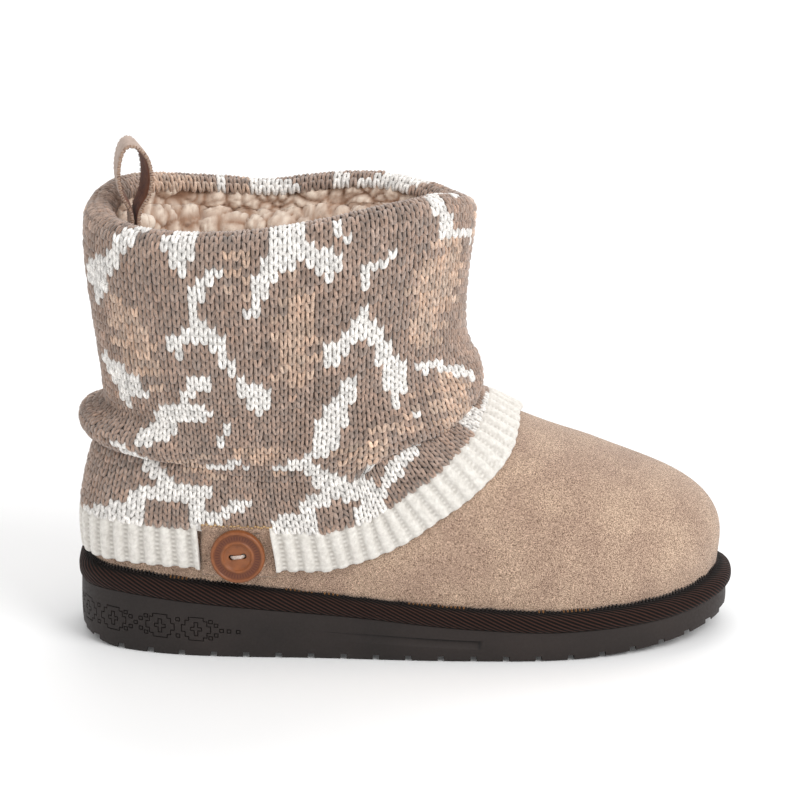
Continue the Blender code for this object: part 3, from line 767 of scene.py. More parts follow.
def paint_points(piece, name, colours):
    layer = piece.data.color_attributes.new(name, "FLOAT_COLOR", "POINT")
    full = np.concatenate([colours, np.ones((len(colours), 1))], 1)
    layer.data.foreach_set("color", full.astype(np.float32).ravel())


# ==== Materials ====


THREADS = (
    # name, its light and its dark tone
    ("dark", (38, 25, 21), (14, 9, 8)),
    ("gold", (150, 104, 56), (84, 54, 30)),
    ("tab", (214, 184, 138), (160, 120, 78)),
    ("button", (214, 200, 190), (180, 164, 152)),
    ("whipping", (190, 160, 134), (92, 62, 50)),
)
SUEDES = (
    # name, the grain's light and dark tone, and what the broad patches are multiplied by
    ("tan suede", (236, 206, 180), (94, 69, 52), (0.82, 0.79, 0.8)),
    ("tab suede", (222, 192, 168), (92, 68, 53), (0.92, 0.9, 0.9)),
)


def tone(red, green, blue):
    """A colour from its 0 to 255 values on a screen, as the shaders take it."""
    share = np.array([red, green, blue]) / 255
    return tuple(np.where(share > 0.04045, ((share + 0.055) / 1.055) ** 2.4, share / 12.92))


class Shading:
    """Adds nodes to a tree, linking or setting their sockets by name."""

    def __init__(self, tree):
        self.tree = tree

    def feed(self, socket, value):
        if isinstance(value, bpy.types.NodeSocket):
            self.tree.links.new(value, socket)
        else:
            socket.default_value = (*value, 1.0) if socket.type == "RGBA" else value

    def plug(self, node, **values):
        for name, value in values.items():
            self.feed(node.inputs[name.replace("_", " ")], value)

    def add(self, kind, inputs, out=0, **settings):
        node = self.tree.nodes.new("ShaderNode" + kind)
        for name, value in settings.items():
            setattr(node, name, value)
        for name, value in inputs.items():
            self.feed(node.inputs[name], value)
        return node.outputs[out]

    def mask(self, name):
        """A value painted on the piece's points."""
        return self.add("Attribute", {}, "Fac", attribute_name=name)

    def maths(self, operation, a, b=0.0):
        return self.add("Math", {0: a, 1: b}, operation=operation)

    def weighted(self, a, share, b, other_share):
        """The sum of two values, each times its own number."""
        scaled = (self.maths("MULTIPLY", a, share), self.maths("MULTIPLY", b, other_share))
        return self.maths("ADD", *scaled)

    def apart(self, a, b):
        """How far two values are apart."""
        return self.maths("ABSOLUTE", self.maths("SUBTRACT", a, b))

    def noise(self, vector, scale, detail=3.0, rough=0.55):
        inputs = {"Vector": vector, "Scale": scale, "Detail": detail, "Roughness": rough}
        return self.add("TexNoise", inputs)

    def ramp(self, value, *stops):
        output = self.add("ValToRGB", {"Fac": value})
        elements = output.node.color_ramp.elements
        while len(elements) < len(stops):
            elements.new(0.5)
        for element, (place, colour) in zip(elements, stops):
            element.position = place
            element.color = (*colour, 1.0)
        return output

    def range(self, value, low, high, to_low=0.0, to_high=1.0):
        inputs = {"Value": value, 1: low, 2: high, 3: to_low, 4: to_high}
        return self.add("MapRange", inputs)

    def blend(self, share, first, second, how="MIX"):
        """A colour from the first one to the second one."""
        inputs = {0: share, 6: first, 7: second}
        return self.add("Mix", inputs, 2, data_type="RGBA", blend_type=how)

    def bump(self, height, distance, strength):
        inputs = {"Height": height, "Distance": distance * MM, "Strength": strength}
        return self.add("Bump", inputs)

    def cover(self, shader, colour, *relief):
        """Gives the shader its colour and the bumps of its surface."""
        self.plug(shader, Base_Color=colour, Normal=self.bump(*relief))


def new_material(name, roughness, **constants):
    """A material, its shading helper, its shader and its object coordinates."""
    material = bpy.data.materials.new(name)
    material.use_nodes = True
    tree = material.node_tree
    shader = tree.nodes["Principled BSDF"]
    shading = Shading(tree)
    shading.plug(shader, Roughness=roughness, **constants)
    return material, shading, shader, shading.add("TexCoord", {}, "Object")


def cloth_material(name, pile, scales, roughness, sheen, specular):
    """A material with the pile group in it: its shading helper, its shader and the group."""
    weight, spread = sheen
    material, shading, shader, place = new_material(
        name, roughness, Sheen_Weight=weight, Sheen_Roughness=spread, Specular_IOR_Level=specular)
    group = shading.tree.nodes.new("ShaderNodeGroup")
    group.node_tree = pile
    fibre, clump, patch = scales
    shading.plug(group, Vector=place, Fibre_Scale=fibre, Clump_Scale=clump, Patch_Scale=patch)
    return material, shading, shader, group.outputs


def pile_group():
    """Short fibres: a fine speckle, soft clumps and broad patches, as masks, and their height."""
    group = bpy.data.node_groups.new("pile", "ShaderNodeTree")
    for name, kind in (("Vector", "NodeSocketVector"), ("Fibre Scale", "NodeSocketFloat"),
                       ("Clump Scale", "NodeSocketFloat"), ("Patch Scale", "NodeSocketFloat")):
        group.interface.new_socket(name, in_out="INPUT", socket_type=kind)
    for name in ("Speckle", "Clumps", "Patches", "Height"):
        group.interface.new_socket(name, in_out="OUTPUT", socket_type="NodeSocketFloat")
    shading = Shading(group)
    inside = group.nodes.new("NodeGroupInput").outputs
    outside = group.nodes.new("NodeGroupOutput").inputs
    speckle = shading.noise(inside["Vector"], inside["Fibre Scale"], 4.0, 0.75)
    clumps = shading.noise(inside["Vector"], inside["Clump Scale"], 3.0, 0.6)
    patches = shading.noise(inside["Vector"], inside["Patch Scale"], 2.0, 0.5)
    height = shading.weighted(speckle, 0.6, clumps, 0.6)
    found = {"Speckle": speckle, "Clumps": clumps, "Patches": patches, "Height": height}
    for name, output in found.items():
        group.links.new(output, outside[name])
    return group


def suede_material(name, pile, light, dark, warm):
    """A fine grain of two tones, under broad patches of a warmer tint."""
    material, shading, shader, nap = cloth_material(
        name, pile, (3000, 1500, 48), 0.95, sheen=(0.25, 0.5), specular=0.15)
    grain = shading.range(nap["Speckle"], 0.43, 0.57)
    clumps = shading.range(nap["Clumps"], 0.38, 0.62)
    base = shading.blend(shading.weighted(grain, 0.7, clumps, 0.3), dark, light)
    patches = shading.range(nap["Patches"], 0.34, 0.62)
    tint = shading.ramp(patches, (0.0, (1.0, 1.0, 1.0)), (1.0, warm))
    colour = shading.blend(1.0, base, tint, "MULTIPLY")
    shading.cover(shader, colour, nap["Height"], 0.45, 0.8)
    return material


def fleece_material(pile):
    """Cream curls, with painted shade darker down in the pockets between them."""
    material, shading, shader, wool = cloth_material(
        "sherpa fleece", pile, (1100, 260, 60), 1.0, sheen=(0.3, 0.6), specular=0.1)
    tint = shading.ramp(wool["Patches"], (0.3, tone(254, 243, 228)), (0.7, tone(246, 228, 210)))
    fibres = shading.range(wool["Speckle"], 0.3, 0.7, 0.0, 0.3)
    colour = shading.blend(fibres, tint, tone(196, 166, 146))
    # painted shade: darker down in the pockets between the curls
    pocket = shading.range(shading.mask("pocket"), 0.05, 0.9)
    colour = shading.blend(pocket, colour, tone(172, 138, 115))
    shading.cover(shader, colour, wool["Height"], 0.8, 0.6)
    return material


def yarn_material(pile):
    """Soft plied yarn in each stitch's own colour, with painted shade at the legs' ends and on the
    back of the cloth.
    """
    material, shading, shader, fibre = cloth_material(
        "soft yarn", pile, (2300, 520, 45), 1.0, sheen=(0.5, 0.6), specular=0.1)
    dye = shading.add("Attribute", {}, "Color", attribute_name="yarn")
    mixed = shading.weighted(fibre["Speckle"], 0.5, fibre["Clumps"], 0.5)
    shade = shading.range(mixed, 0.38, 0.62, 0.6, 1.3)
    colour = shading.add("VectorMath", {0: dye, 1: shade}, operation="MULTIPLY")
    shading.cover(shader, colour, fibre["Height"], 0.35, 0.7)
    return material


def rib_material(pile):
    """Off-white wool, with painted shade greyer down in the hollows between the ribs."""
    material, shading, shader, fibre = cloth_material(
        "rib wool", pile, (2100, 520, 50), 1.0, sheen=(0.3, 0.6), specular=0.1)
    clumps = shading.range(fibre["Clumps"], 0.3, 0.7)
    white = shading.ramp(clumps, (0.0, tone(210, 205, 197)), (1.0, tone(240, 236, 229)))
    # painted shade in the hollows between the ribs
    hollow = shading.range(shading.mask("hollow"), 0.0, 1.0, 0.0, 0.72)
    colour = shading.blend(hollow, white, tone(158, 151, 143))
    shading.cover(shader, colour, fibre["Height"], 0.4, 0.6)
    return material


def twill_material(pile):
    """Dark bias binding: fine diagonal ribs in the cloth's own map, and a painted shadow darker at
    the seam.
    """
    material, shading, shader, fibre = cloth_material(
        "bias twill", pile, (1800, 500, 40), 0.85, sheen=(0.04, 0.4), specular=0.2)
    cloth = shading.add("UVMap", {}, uv_map="cloth")
    line = shading.add("SeparateXYZ", {0: cloth}, "X")
    wave = shading.maths("SINE", shading.maths("MULTIPLY", line, 2 * pi))
    ridge = shading.range(wave, -0.3, 1.0)
    # the ribs' crests lighter and their grooves near black: partly the twill's own lines, partly
    # painted shade in the grooves
    thread = shading.blend(ridge, tone(5, 3, 2), tone(68, 42, 34))
    worn = shading.range(fibre["Clumps"], 0.4, 0.8, 0.0, 0.3)
    colour = shading.blend(worn, thread, tone(26, 16, 13))
    # painted shadow: the binding darker towards its seam
    seam = shading.range(shading.mask("seam"), 0.2, 1.0, 0.0, 0.85)
    colour = shading.blend(seam, colour, tone(9, 6, 5))
    height = shading.maths("ADD", ridge, shading.maths("MULTIPLY", fibre["Speckle"], 0.3))
    shading.cover(shader, colour, height, 0.35, 0.9)
    return material


def rubber_material():
    """Dark brown rubber with faint scuffs, and painted shade darker in its engraved lines and along
    the long recess's edges.
    """
    material, shading, shader, place = new_material("moulded rubber", 0.6, Specular_IOR_Level=0.32)
    fine = shading.noise(place, 900.0, 3.0, 0.6)
    scuffs = shading.range(shading.noise(place, 24.0, 3.0, 0.5), 0.35, 0.7)
    colour = shading.blend(scuffs, tone(35, 29, 27), tone(47, 39, 36))
    # painted shade in the engraved lines and at the recess's upper edge and front end
    engraved = shading.range(shading.mask("engraved"), 0.2, 1.0, 0.0, 0.95)
    colour = shading.blend(engraved, colour, tone(12, 10, 10))
    shading.plug(shader, Base_Color=colour, Roughness=shading.range(fine, 0.3, 0.7, 0.5, 0.68),
                 Normal=shading.bump(fine, 0.12, 0.35))
    return material


def resin_material():
    """Brown resin, burnt darker in the sunk ring, with a tick every few degrees round it."""
    material, shading, shader, place = new_material("burnt resin", 0.42, Specular_IOR_Level=0.5)
    uv = shading.add("UVMap", {}, uv_map="turned")
    turned = shading.add("SeparateXYZ", {0: uv}).node.outputs
    grain = shading.noise(place, 420.0, 4.0, 0.6)
    tint = shading.ramp(shading.range(grain, 0.3, 0.7),
                        (0.0, tone(124, 70, 36)), (1.0, tone(149, 88, 46)))
    turn = shading.maths("FRACT", shading.maths("MULTIPLY", turned["X"], BUTTON_TICKS))
    tick = shading.range(shading.apart(turn, 0.5), 0.1, 0.25, 1.0, 0.0)
    from_ring = shading.apart(turned["Y"], BUTTON_RING)
    ring = shading.range(from_ring, 1.2, 1.7, 1.0, 0.0)
    short = shading.range(from_ring, 0.65, 1.05, 1.0, 0.0)
    burnt = shading.weighted(ring, 0.62, shading.maths("MULTIPLY", tick, short), 0.36)
    colour = shading.blend(burnt, tint, tone(80, 30, 8))
    shading.plug(shader, Base_Color=colour, Roughness=shading.range(grain, 0.3, 0.7, 0.34, 0.5))
    return material


def strap_material(pile):
    """Taupe webbing, and its brown lining where the strap faces itself."""
    material, shading, shader, cloth = cloth_material(
        "strap cloth", pile, (1900, 420, 60), 0.9, sheen=(0.2, 0.5), specular=0.2)
    shade = shading.range(cloth["Clumps"], 0.3, 0.7)
    outside = shading.blend(shade, tone(160, 138, 124), tone(192, 170, 156))
    inner = shading.blend(shade, tone(97, 51, 26), tone(136, 82, 50))
    colour = shading.blend(shading.range(shading.mask("inside"), 0.4, 0.6), outside, inner)
    shading.cover(shader, colour, cloth["Height"], 0.3, 0.6)
    return material


def thread_material(name, light, dark):
    material, shading, shader, place = new_material(
        name, 0.7, Sheen_Weight=0.2, Specular_IOR_Level=0.3)
    ply = shading.noise(place, 1400.0, 2.0, 0.6)
    shading.plug(shader, Base_Color=shading.blend(shading.range(ply, 0.35, 0.65), dark, light))
    return material


# ==== Sole ====

CELL = 0.78  # of the lattice that the heel's ornament is engraved on
CELL_HIGH = 0.73
LINE_HALF = 0.24
LINE_DEEP = 0.5
ORNAMENT_ROWS = 14
ORNAMENT_AT = 0.52  # its middle, as a share of the wall's height
MEDALLIONS = (0, 28, 48, 76, 96)  # columns of their middles, counted from the heel's middle
ORNAMENT_COLUMNS = 122
RECESS_FROM, RECESS_TO = -40, 31.5  # of the long shallow pocket on the outer side
RECESS_TOP = 2.05  # above the ornament's middle line
RECESS_BOTTOM = -1.5
RECESS_SHADE = 0.8  # how dark its upper edge and its front end are
RECESS_DEEP = 1.5
RECESS_END = 0.9  # how far from its front end it is fully deep
OUTSOLE_STEPS = 170  # along each side, in front of the ornament
WALL_BELOW = np.array([0.0, 0.035, 0.08, 0.16, 0.3, 0.55, 0.8])  # rows, up to the ornament
WALL_ABOVE = np.array([0.25, 0.55, 0.8, 0.93, 1.0])  # and from the ornament to the top
INSET = (0.03, 0.2, 0.6, 1)  # rows of a flat face, from its edge to its middle line
LUG_ANGLE = 38  # degrees, past which an edge of the rubber stays sharp

TWILL_STEP = 1.5  # between two of the twill's ribs, measured up the band
TWILL_ALONG_SIDE = 3.6  # and along it, at the sides
TWILL_ALONG_TOE = 2.1  # and at the toe
BINDING_STEPS = 300  # along each side
BINDING_ROWS = 21
BINDING_SEAM_SHADOW = (0.86, 0.97)  # shares of its height between which a painted shadow darkens it towards the seam
TOE_FROM, TOE_TO = 70, 132  # along the boot, where the twill is drawn together

WELT_STITCHES = 740  # places for a stitch; every other one is a gap
WELT_FOOT = (-3.1, -0.3)  # of a stitch: out from the sole's outline, up from the midsole's top
WELT_HEAD = (-4.7, 1.25)
WELT_LENGTH, GOLD_LENGTH = 2.5, 1.7  # of a stitch
GOLD_REACH = 100  # how far from the boot's middle some of the gaps hold gold thread

rubber_out = smooth_curve(*zip(*[(share, out) for out, share in RUBBER_EDGE]))


class SoleLine:
    """The sole's plan outline by distance from the front, on the medial and on the lateral side."""

    def __init__(self):
        ring, side = oval(dict(zip(PLAN, OUTSOLE_PLAN)))
        self.halves = (ring[: side + 1], closed(ring)[side:][::-1])
        self.runs = [distances(half) for half in self.halves]

    def ring(self, from_back, steps):
        """Both halves in one ring, with these places in millimetres from the heel's middle."""
        sides = []
        for half, run in zip(self.halves, self.runs):
            rest = run[-1] - from_back[-1]
            ahead = rest * (1 - np.arange(1, steps + 1) / steps)
            places = np.concatenate([ahead[::-1], run[-1] - from_back[::-1]])
            sides.append(read_along(half, run, places))
        medial, lateral = sides
        return np.concatenate([medial, lateral[-2:0:-1]])


def ornament_fields():
    """The heel's ornament as fields of a lattice; a line is engraved where two fields differ.

    Stepped medallions with a cross in them, small squares in arrowheads between each two pairs, and
    three squares at the end of the row.
    """
    rows, columns = np.mgrid[0:ORNAMENT_ROWS, -9:ORNAMENT_COLUMNS] + 0.5
    field = np.zeros(rows.shape, int)

    def block(column, row, half_wide, half_high, kind):
        field[(abs(columns - column) < half_wide) & (abs(rows - row) < half_high)] = kind

    middle = ORNAMENT_ROWS / 2
    for column in MEDALLIONS:
        for half_wide, half_high in ((4, 7), (6, 5), (8, 2)):
            block(column, middle, half_wide, half_high, 1)
        block(column, middle, 1, 4, 2)
        block(column, middle, 3, 1, 2)
    squares = [(38, 5)]
    for start, turn in ((0, 1), (28, -1), (48, 1), (76, -1), (96, 1)):
        squares += [(start + turn * away, rise) for away, rise in ((8, 5), (11, 3), (14, 0))]
    squares += [(86, 5), (114, 0), (119, 0)]
    for number, (column, rise) in enumerate(squares):
        for row in (middle - rise, middle + rise):
            block(column, row, 1, 1, 10 + number)
    return field[:, 9:]


def engraved_mask(field):
    """Which points lie in a line of the ornament, with three rows and columns for each line."""
    rows, columns = field.shape
    mask = np.zeros((3 * (rows + 1), 3 * (columns + 1)))
    wide = np.pad(field, 1)
    wide[:, 0] = wide[:, 1]
    for r, c in zip(*np.nonzero(wide[1:, 1:-1] != wide[:-1, 1:-1])):
        mask[3 * r + 1, 3 * c + 1 : 3 * c + 5] = 1
    for r, c in zip(*np.nonzero(wide[1:-1, 1:] != wide[1:-1, :-1])):
        mask[3 * r + 1 : 3 * r + 5, 3 * c + 1] = 1
    return mask


def closed_slab(wall, inset):
    """Rows of a wall, with rows that run in to the middle line of the sole above and below it."""
    count = wall.shape[1]
    mirror = (count - np.arange(count)) % count
    middle = (wall + wall[:, mirror]) / 2
    under = [wall[0] + (middle[0] - wall[0]) * share for share in inset[::-1]]
    above = [wall[-1] + (middle[-1] - wall[-1]) * share for share in inset]
    return np.concatenate([under, wall, above])


def make_outsole(material):
    """The rubber: its wall with the heel's ornament and the long recess, and the tread's lugs."""
    triple = np.array([-LINE_HALF, 0.0, LINE_HALF])
    columns = (np.arange(ORNAMENT_COLUMNS + 1)[:, None] * CELL + triple).ravel()
    from_back = np.concatenate([[0.0], columns[2:]])
    ring = SoleLine().ring(from_back, OUTSOLE_STEPS)
    mask = engraved_mask(ornament_fields())[:, 1:]

    levels = np.arange(ORNAMENT_ROWS + 1) - ORNAMENT_ROWS / 2
    rise = (levels[:, None] * CELL_HIGH + triple).ravel()
    shares = np.concatenate([WALL_BELOW * ORNAMENT_AT, 0 * rise + ORNAMENT_AT,
                             ORNAMENT_AT + WALL_ABOVE * (1 - ORNAMENT_AT)])
    rises = np.concatenate([WALL_BELOW * rise[0], rise, rise[-1] * (1 - WALL_ABOVE)])

    count = len(ring)
    lines = np.zeros((len(shares), count))
    place = count // 2 - np.arange(len(from_back))
    rows = slice(len(WALL_BELOW), len(WALL_BELOW) + len(rise))
    lines[rows, place] = mask
    lines[rows, (count - place) % count] = mask

    x, lateral = ring[:, 0], ring[:, 1] < 0
    low, high = sole_bottom(x), rubber_top(x)
    along = smooth_step(RECESS_FROM, RECESS_TO, x) ** 0.6
    along = along * smooth_step(RECESS_TO + RECESS_END, RECESS_TO - RECESS_END, x) * lateral
    end = (np.abs(x - RECESS_TO) < RECESS_END) * lateral
    wall, shades = [], []
    for line, share, lift in zip(lines, shares, rises):
        slope = np.clip((lift - RECESS_BOTTOM) / (RECESS_TOP - RECESS_BOTTOM), 0, 1)
        held = slope**0.6 * (lift < RECESS_TOP) * (share == ORNAMENT_AT)
        real = low + (high - low) * share + lift
        out = rubber_out((real - low) / (high - low)) - line * LINE_DEEP
        wall.append(np.column_stack([sole_outline(out - RECESS_DEEP * held * along, ring), real]))
        inside = (RECESS_BOTTOM < lift < RECESS_TOP) * (share == ORNAMENT_AT)
        # painted shade along the recess's upper edge and its front end, added to the engraved lines
        shade = np.maximum((lift > RECESS_TOP - 0.6) * along, end) * inside
        shades.append(np.maximum(line, RECESS_SHADE * shade))
    grid = closed_slab(np.stack(wall), INSET)
    outsole = laid_grid("outsole_moulded", grid, around=True)
    cut_grooves(outsole, ring)
    plain = np.zeros((len(INSET), count))
    mark_nearest(outsole, "engraved", grid, np.concatenate([plain, shades, plain]))
    bpy.ops.object.shade_smooth_by_angle(angle=radians(LUG_ANGLE))
    finish_piece(outsole, material, "outsole_rubber", "outsole")


def cut_grooves(outsole, ring):
    """Cuts a groove between each two lugs, square to the sole's middle line."""
    halves = even_ring(ring, len(ring) // 2, 2 * LUGS)
    bars = []
    for i in range(1, LUGS):
        medial, lateral = halves[i], halves[2 * LUGS - i]
        middle, across = (medial + lateral) / 2, medial - lateral
        bars.append(added(
            bpy.ops.mesh.primitive_cube_add, size=1.0,
            location=(middle[0] * MM, middle[1] * MM, float(sole_bottom(middle[0])) * MM),
            rotation=(0, 0, np.arctan2(-across[0], across[1])),
            scale=(GROOVE_WIDTH * MM, (np.linalg.norm(across) + 8) * MM, 2 * GROOVE_DEPTH * MM),
        ))
    cutter = join_all(bars[::-1])
    apply_modifier(outsole, "BOOLEAN", object=cutter, operation="DIFFERENCE")
    bpy.data.objects.remove(cutter)
    pick_only(outsole)


def make_midsole_wrap(material):
    """The fabric-wrapped band, with the twill's ribs mapped slanting round it."""
    ring = SoleLine().ring(np.array([0.0]), BINDING_STEPS)
    along = (ring[:, 0] - OUTSOLE_PLAN[1]) / (OUTSOLE_PLAN[0] - OUTSOLE_PLAN[1])
    bulge = WRAP_BULGE_HEEL + (WRAP_BULGE_TOE - WRAP_BULGE_HEEL) * along**2
    profile = natural_spline(WRAP_EDGE)
    low, high = rubber_top(ring[:, 0]) + GAP, midsole_top(ring[:, 0])
    wall = []
    for level in np.linspace(0, len(WRAP_EDGE) - 1, BINDING_ROWS):
        share_of_bulge, out, share = profile(level)
        plan = sole_outline(out + share_of_bulge * bulge, ring)
        wall.append(np.column_stack([plan, low + (high - low) * share]))
    rows = closed_slab(np.stack(wall), INSET)
    wrap = laid_grid("midsole_binding", rows, around=True)
    height = (rows[..., 2] - low) / (high - low)
    # marks where the painted shadow at the seam falls
    mark_nearest(wrap, "seam", rows, smooth_step(*BINDING_SEAM_SHADOW, height))
    round_ring = closed(ring)
    step = np.linalg.norm(np.diff(round_ring, axis=0), axis=1)
    nearer_toe = smooth_step(TOE_FROM, TOE_TO, (round_ring[1:, 0] + round_ring[:-1, 0]) / 2)
    rib = TWILL_ALONG_SIDE + (TWILL_ALONG_TOE - TWILL_ALONG_SIDE) * nearer_toe
    ribs = np.append(0, np.cumsum(step / rib))
    ribs *= round(ribs[-1]) / ribs[-1]  # the ribs meet where the binding is joined
    climb = run_of(rows)[:, len(ring) // 4] / TWILL_STEP
    share = grid_uv(wrap)
    u = np.interp(share[:, 0], np.linspace(0, 1, len(ribs)), ribs)
    v = np.interp(share[:, 1], np.linspace(0, 1, len(rows)), climb)
    # on both sides the ribs fall towards the toe
    lateral = share[:, 0] > 0.5
    set_uv(wrap, "cloth", np.stack([np.where(lateral, u + v, u - v), v], 1))
    finish_piece(wrap, material, "midsole_twill", "midsole_wrap")


def make_seam_stitches(dark, gold):
    """Small stitches over the seam between the binding and the suede."""
    fine = SoleLine().ring(np.array([0.0]), 1200)
    ring = even_ring(fine, len(fine) // 2, WELT_STITCHES)
    normal = unit(sole_outline(1.0, ring) - ring)
    x, z = ring[:, 0], midsole_top(ring[:, 0])
    lower, upper = (
        np.column_stack([sole_outline(out, ring), z + rise]) for out, rise in (WELT_FOOT, WELT_HEAD)
    )
    out = unit(np.column_stack([normal, np.ones(len(ring))]))
    frames = frames_along((lower + upper) / 2, upper - lower, out)
    between = np.arange(len(ring)) % 2 == 1
    golden = np.sin(x / 9.0) + 0.6 * np.sin(x / 2.7) > 0.4
    golden &= between & (np.abs(x) < GOLD_REACH)
    for name, chosen, length, material in (
            ("welt_stitches", ~between, WELT_LENGTH, dark),
            ("welt_stitches_gold", golden, GOLD_LENGTH, gold)):
        stitches = copies_of(bead(length, 0.85, 0.75, 5, 4), name, frames[chosen])
        finish_piece(stitches, material, "midsole_twill")


# ==== Suede, fleece and insole ====

SUEDE_WALL = 1.6
SUEDE_STEPS = 300  # round the upper
SUEDE_CREASES = (
    # x, y, z of the middle, along x, y, z, half length, half width, depth (below 0 it is a ridge)
    (-21, -47, 34, 0.8, 0, 0.5, 16, 6, 0.7),
    (-2, -47, 40, 0.9, 0.1, 0.5, 18, 7, -0.4),
    (30, -46, 45, 0.9, 0, 0.45, 24, 8, 0.45),
    (62, -40, 52, 0.7, 0.3, 0.3, 20, 9, -0.4),
    (95, -34, 42, 0.5, 0.2, 0.8, 18, 9, 0.35),
    (60, 0, 86, 0.1, 1, 0, 30, 8, 0.5),
    (78, 4, 79, 0.1, 1, 0.1, 28, 7, -0.35),
    (30, 46, 46, 0.9, 0, 0.5, 24, 8, 0.6),
    (-20, 44, 44, 0.8, 0, 0.6, 18, 7, 0.5),
    (70, 42, 46, 0.8, -0.2, 0.4, 22, 8, -0.4),
)
PUCKER = 0.22  # of the suede where it is sewn down
PUCKER_REACH = 6  # how far up it fades
FLEECE_STEPS = 370  # round the lining
FLEECE_SEED = 11  # without a seed the noise is another one on every run
FLEECE_SWELL = 7.5  # how much the pile stands in from the wall, below the knit that is turned in
SWELL_BEGINS, SWELL_ENDS = (6.5, 13), (70, 22)  # where, down from the collar's edge
CURL, SMALL_CURL = 8.5, 4  # sizes of the pile's lumps
CURL_RISE, SMALL_RISE = 3, 1
CURL_SINKS, SMALL_SINKS = 1.5, 0.5  # in the pockets between them
INSOLE_STEPS = 200
INSOLE_CENTRE = np.array([-12.5, 0.0])


def softened(points, normal, creases):
    """The points moved in and out by the creases, as soft troughs and ridges."""
    moved = points.copy()
    for x, y, z, ax, ay, az, length, width, depth in creases:
        away = points - np.array([x, y, z])
        axis = unit(np.array([ax, ay, az]))
        run = away @ axis
        aside = np.linalg.norm(away - run[..., None] * axis, axis=-1)
        held = np.exp(-((run / length) ** 2) - (aside / width) ** 2)
        moved -= normal * (depth * held)[..., None]
    return moved


def rings_of_upper(count, *stretches):
    """The upper's outer face as rings: each stretch is a first and a last level and its rings."""
    levels = [np.linspace(*stretch)[:-1] for stretch in stretches] + [[TOP_LEVEL]]
    return np.stack([even_ring(*upper_ring(level), count) for level in np.concatenate(levels)])


def wall_normals(outer):
    """The rings' normals, level along the lowest one."""
    normal = outward(outer)
    normal[0] = unit(normal[0] * (1, 1, 0))
    return normal


def wall_rows(outer, thick):
    """A closed wall from its outer face: up it, over its round top edge and down its inner face."""
    normal = wall_normals(outer)
    up = unit(outer[-1] - outer[-2])
    half = thick / 2
    middle = outer[-1] - normal[-1] * half
    edge = [middle + (normal[-1] * cos(a) + up * sin(a)) * half
            for a in (pi / 4, pi / 2, 3 * pi / 4)]
    inner = (outer - normal * thick)[::-1]
    return np.concatenate([outer, edge, inner])


def make_suede_upper(material):
    """The suede of the foot and, under the knit, of the shaft."""
    outer = rings_of_upper(SUEDE_STEPS, (0, 1, 12), (1, 9, 36), (9, TOP_LEVEL, 6))
    normal = outward(outer)
    outer = softened(outer, normal, SUEDE_CREASES)
    rise = outer[..., 2] - outer[:1, :, 2]
    turn = np.arange(SUEDE_STEPS) / SUEDE_STEPS * 2 * pi
    gathers = np.sin(turn * 47 + 2 * np.sin(turn * 5)) + 0.5 * np.sin(turn * 83)
    outer += normal * (PUCKER * gathers * np.exp(-((rise / PUCKER_REACH) ** 2)))[..., None]
    upper = laid_grid("suede_upper", wall_rows(outer, SUEDE_WALL), around=True, over=True)
    finish_piece(upper, material, "suede", "upper")


def lumpy(points, size, seed):
    """How far each point rises in a cover of soft round lumps, and how deep in a pocket it is."""
    noise.seed_set(FLEECE_SEED)
    rise, edge = np.empty(len(points)), np.empty(len(points))
    for i, point in enumerate(points):
        place = Vector(point) / size + Vector((seed, 2.3 * seed, 0.7))
        sway = noise.noise_vector(place * 0.7) * 0.5
        distance, _ = noise.voronoi(place + sway)
        rise[i] = max(0.0, 1 - distance[0] ** 2 * 1.6) ** 0.5
        edge[i] = distance[1] - distance[0]
    return rise, 1 - np.clip(edge / 0.35, 0, 1)


def raise_fleece(piece, share_at):
    """Raises lumps on a fleece piece by its points' shares of them, and marks the pockets for
    painted shade.
    """
    points = coordinates(piece)
    normals = np.empty(len(points) * 3, np.float32)
    piece.data.vertices.foreach_get("normal", normals)
    normals = normals.reshape(-1, 3)
    big, big_pocket = lumpy(points, CURL, 1.0)
    small, small_pocket = lumpy(points, SMALL_CURL, 4.0)
    rise = CURL_RISE * big - CURL_SINKS * big_pocket**2
    rise = (rise + SMALL_RISE * small - SMALL_SINKS * small_pocket) * share_at(points, normals)
    move_to(piece, points + normals * rise[:, None])
    mark_points(piece, "pocket", np.maximum(big_pocket**1.5, 0.55 * small_pocket))
    piece.data.shade_smooth()


def make_fleece_lining(material):
    """The pile inside the upper, on a thin back that lies against the suede."""
    outer = rings_of_upper(FLEECE_STEPS, (0, 10, 34), (10, TOP_LEVEL, 62))
    normal = wall_normals(outer)
    back = outer - normal * (SUEDE_WALL + 0.3)
    up = unit(outer[-1] - outer[-2])
    edge = outer[-1] - normal[-1] * (UPPER_WALL / 2) + up * 0.4
    depth = run_of(outer)[-1:] - run_of(outer)
    plump = FLEECE_SWELL * smooth_step(*SWELL_BEGINS, depth) * smooth_step(*SWELL_ENDS, depth)
    face = (outer - normal * (UPPER_WALL - 0.6 + plump)[..., None])[::-1]
    sparse = back[::6]
    rows = np.concatenate([sparse, [back[-1]], [edge], face])
    lining = laid_grid("fleece_lining", rows, around=True, over=True)
    inner = set(places_of(face))
    raise_fleece(lining, lambda points, normals: [place in inner for place in places_of(points)])
    finish_piece(lining, material, "fleece")


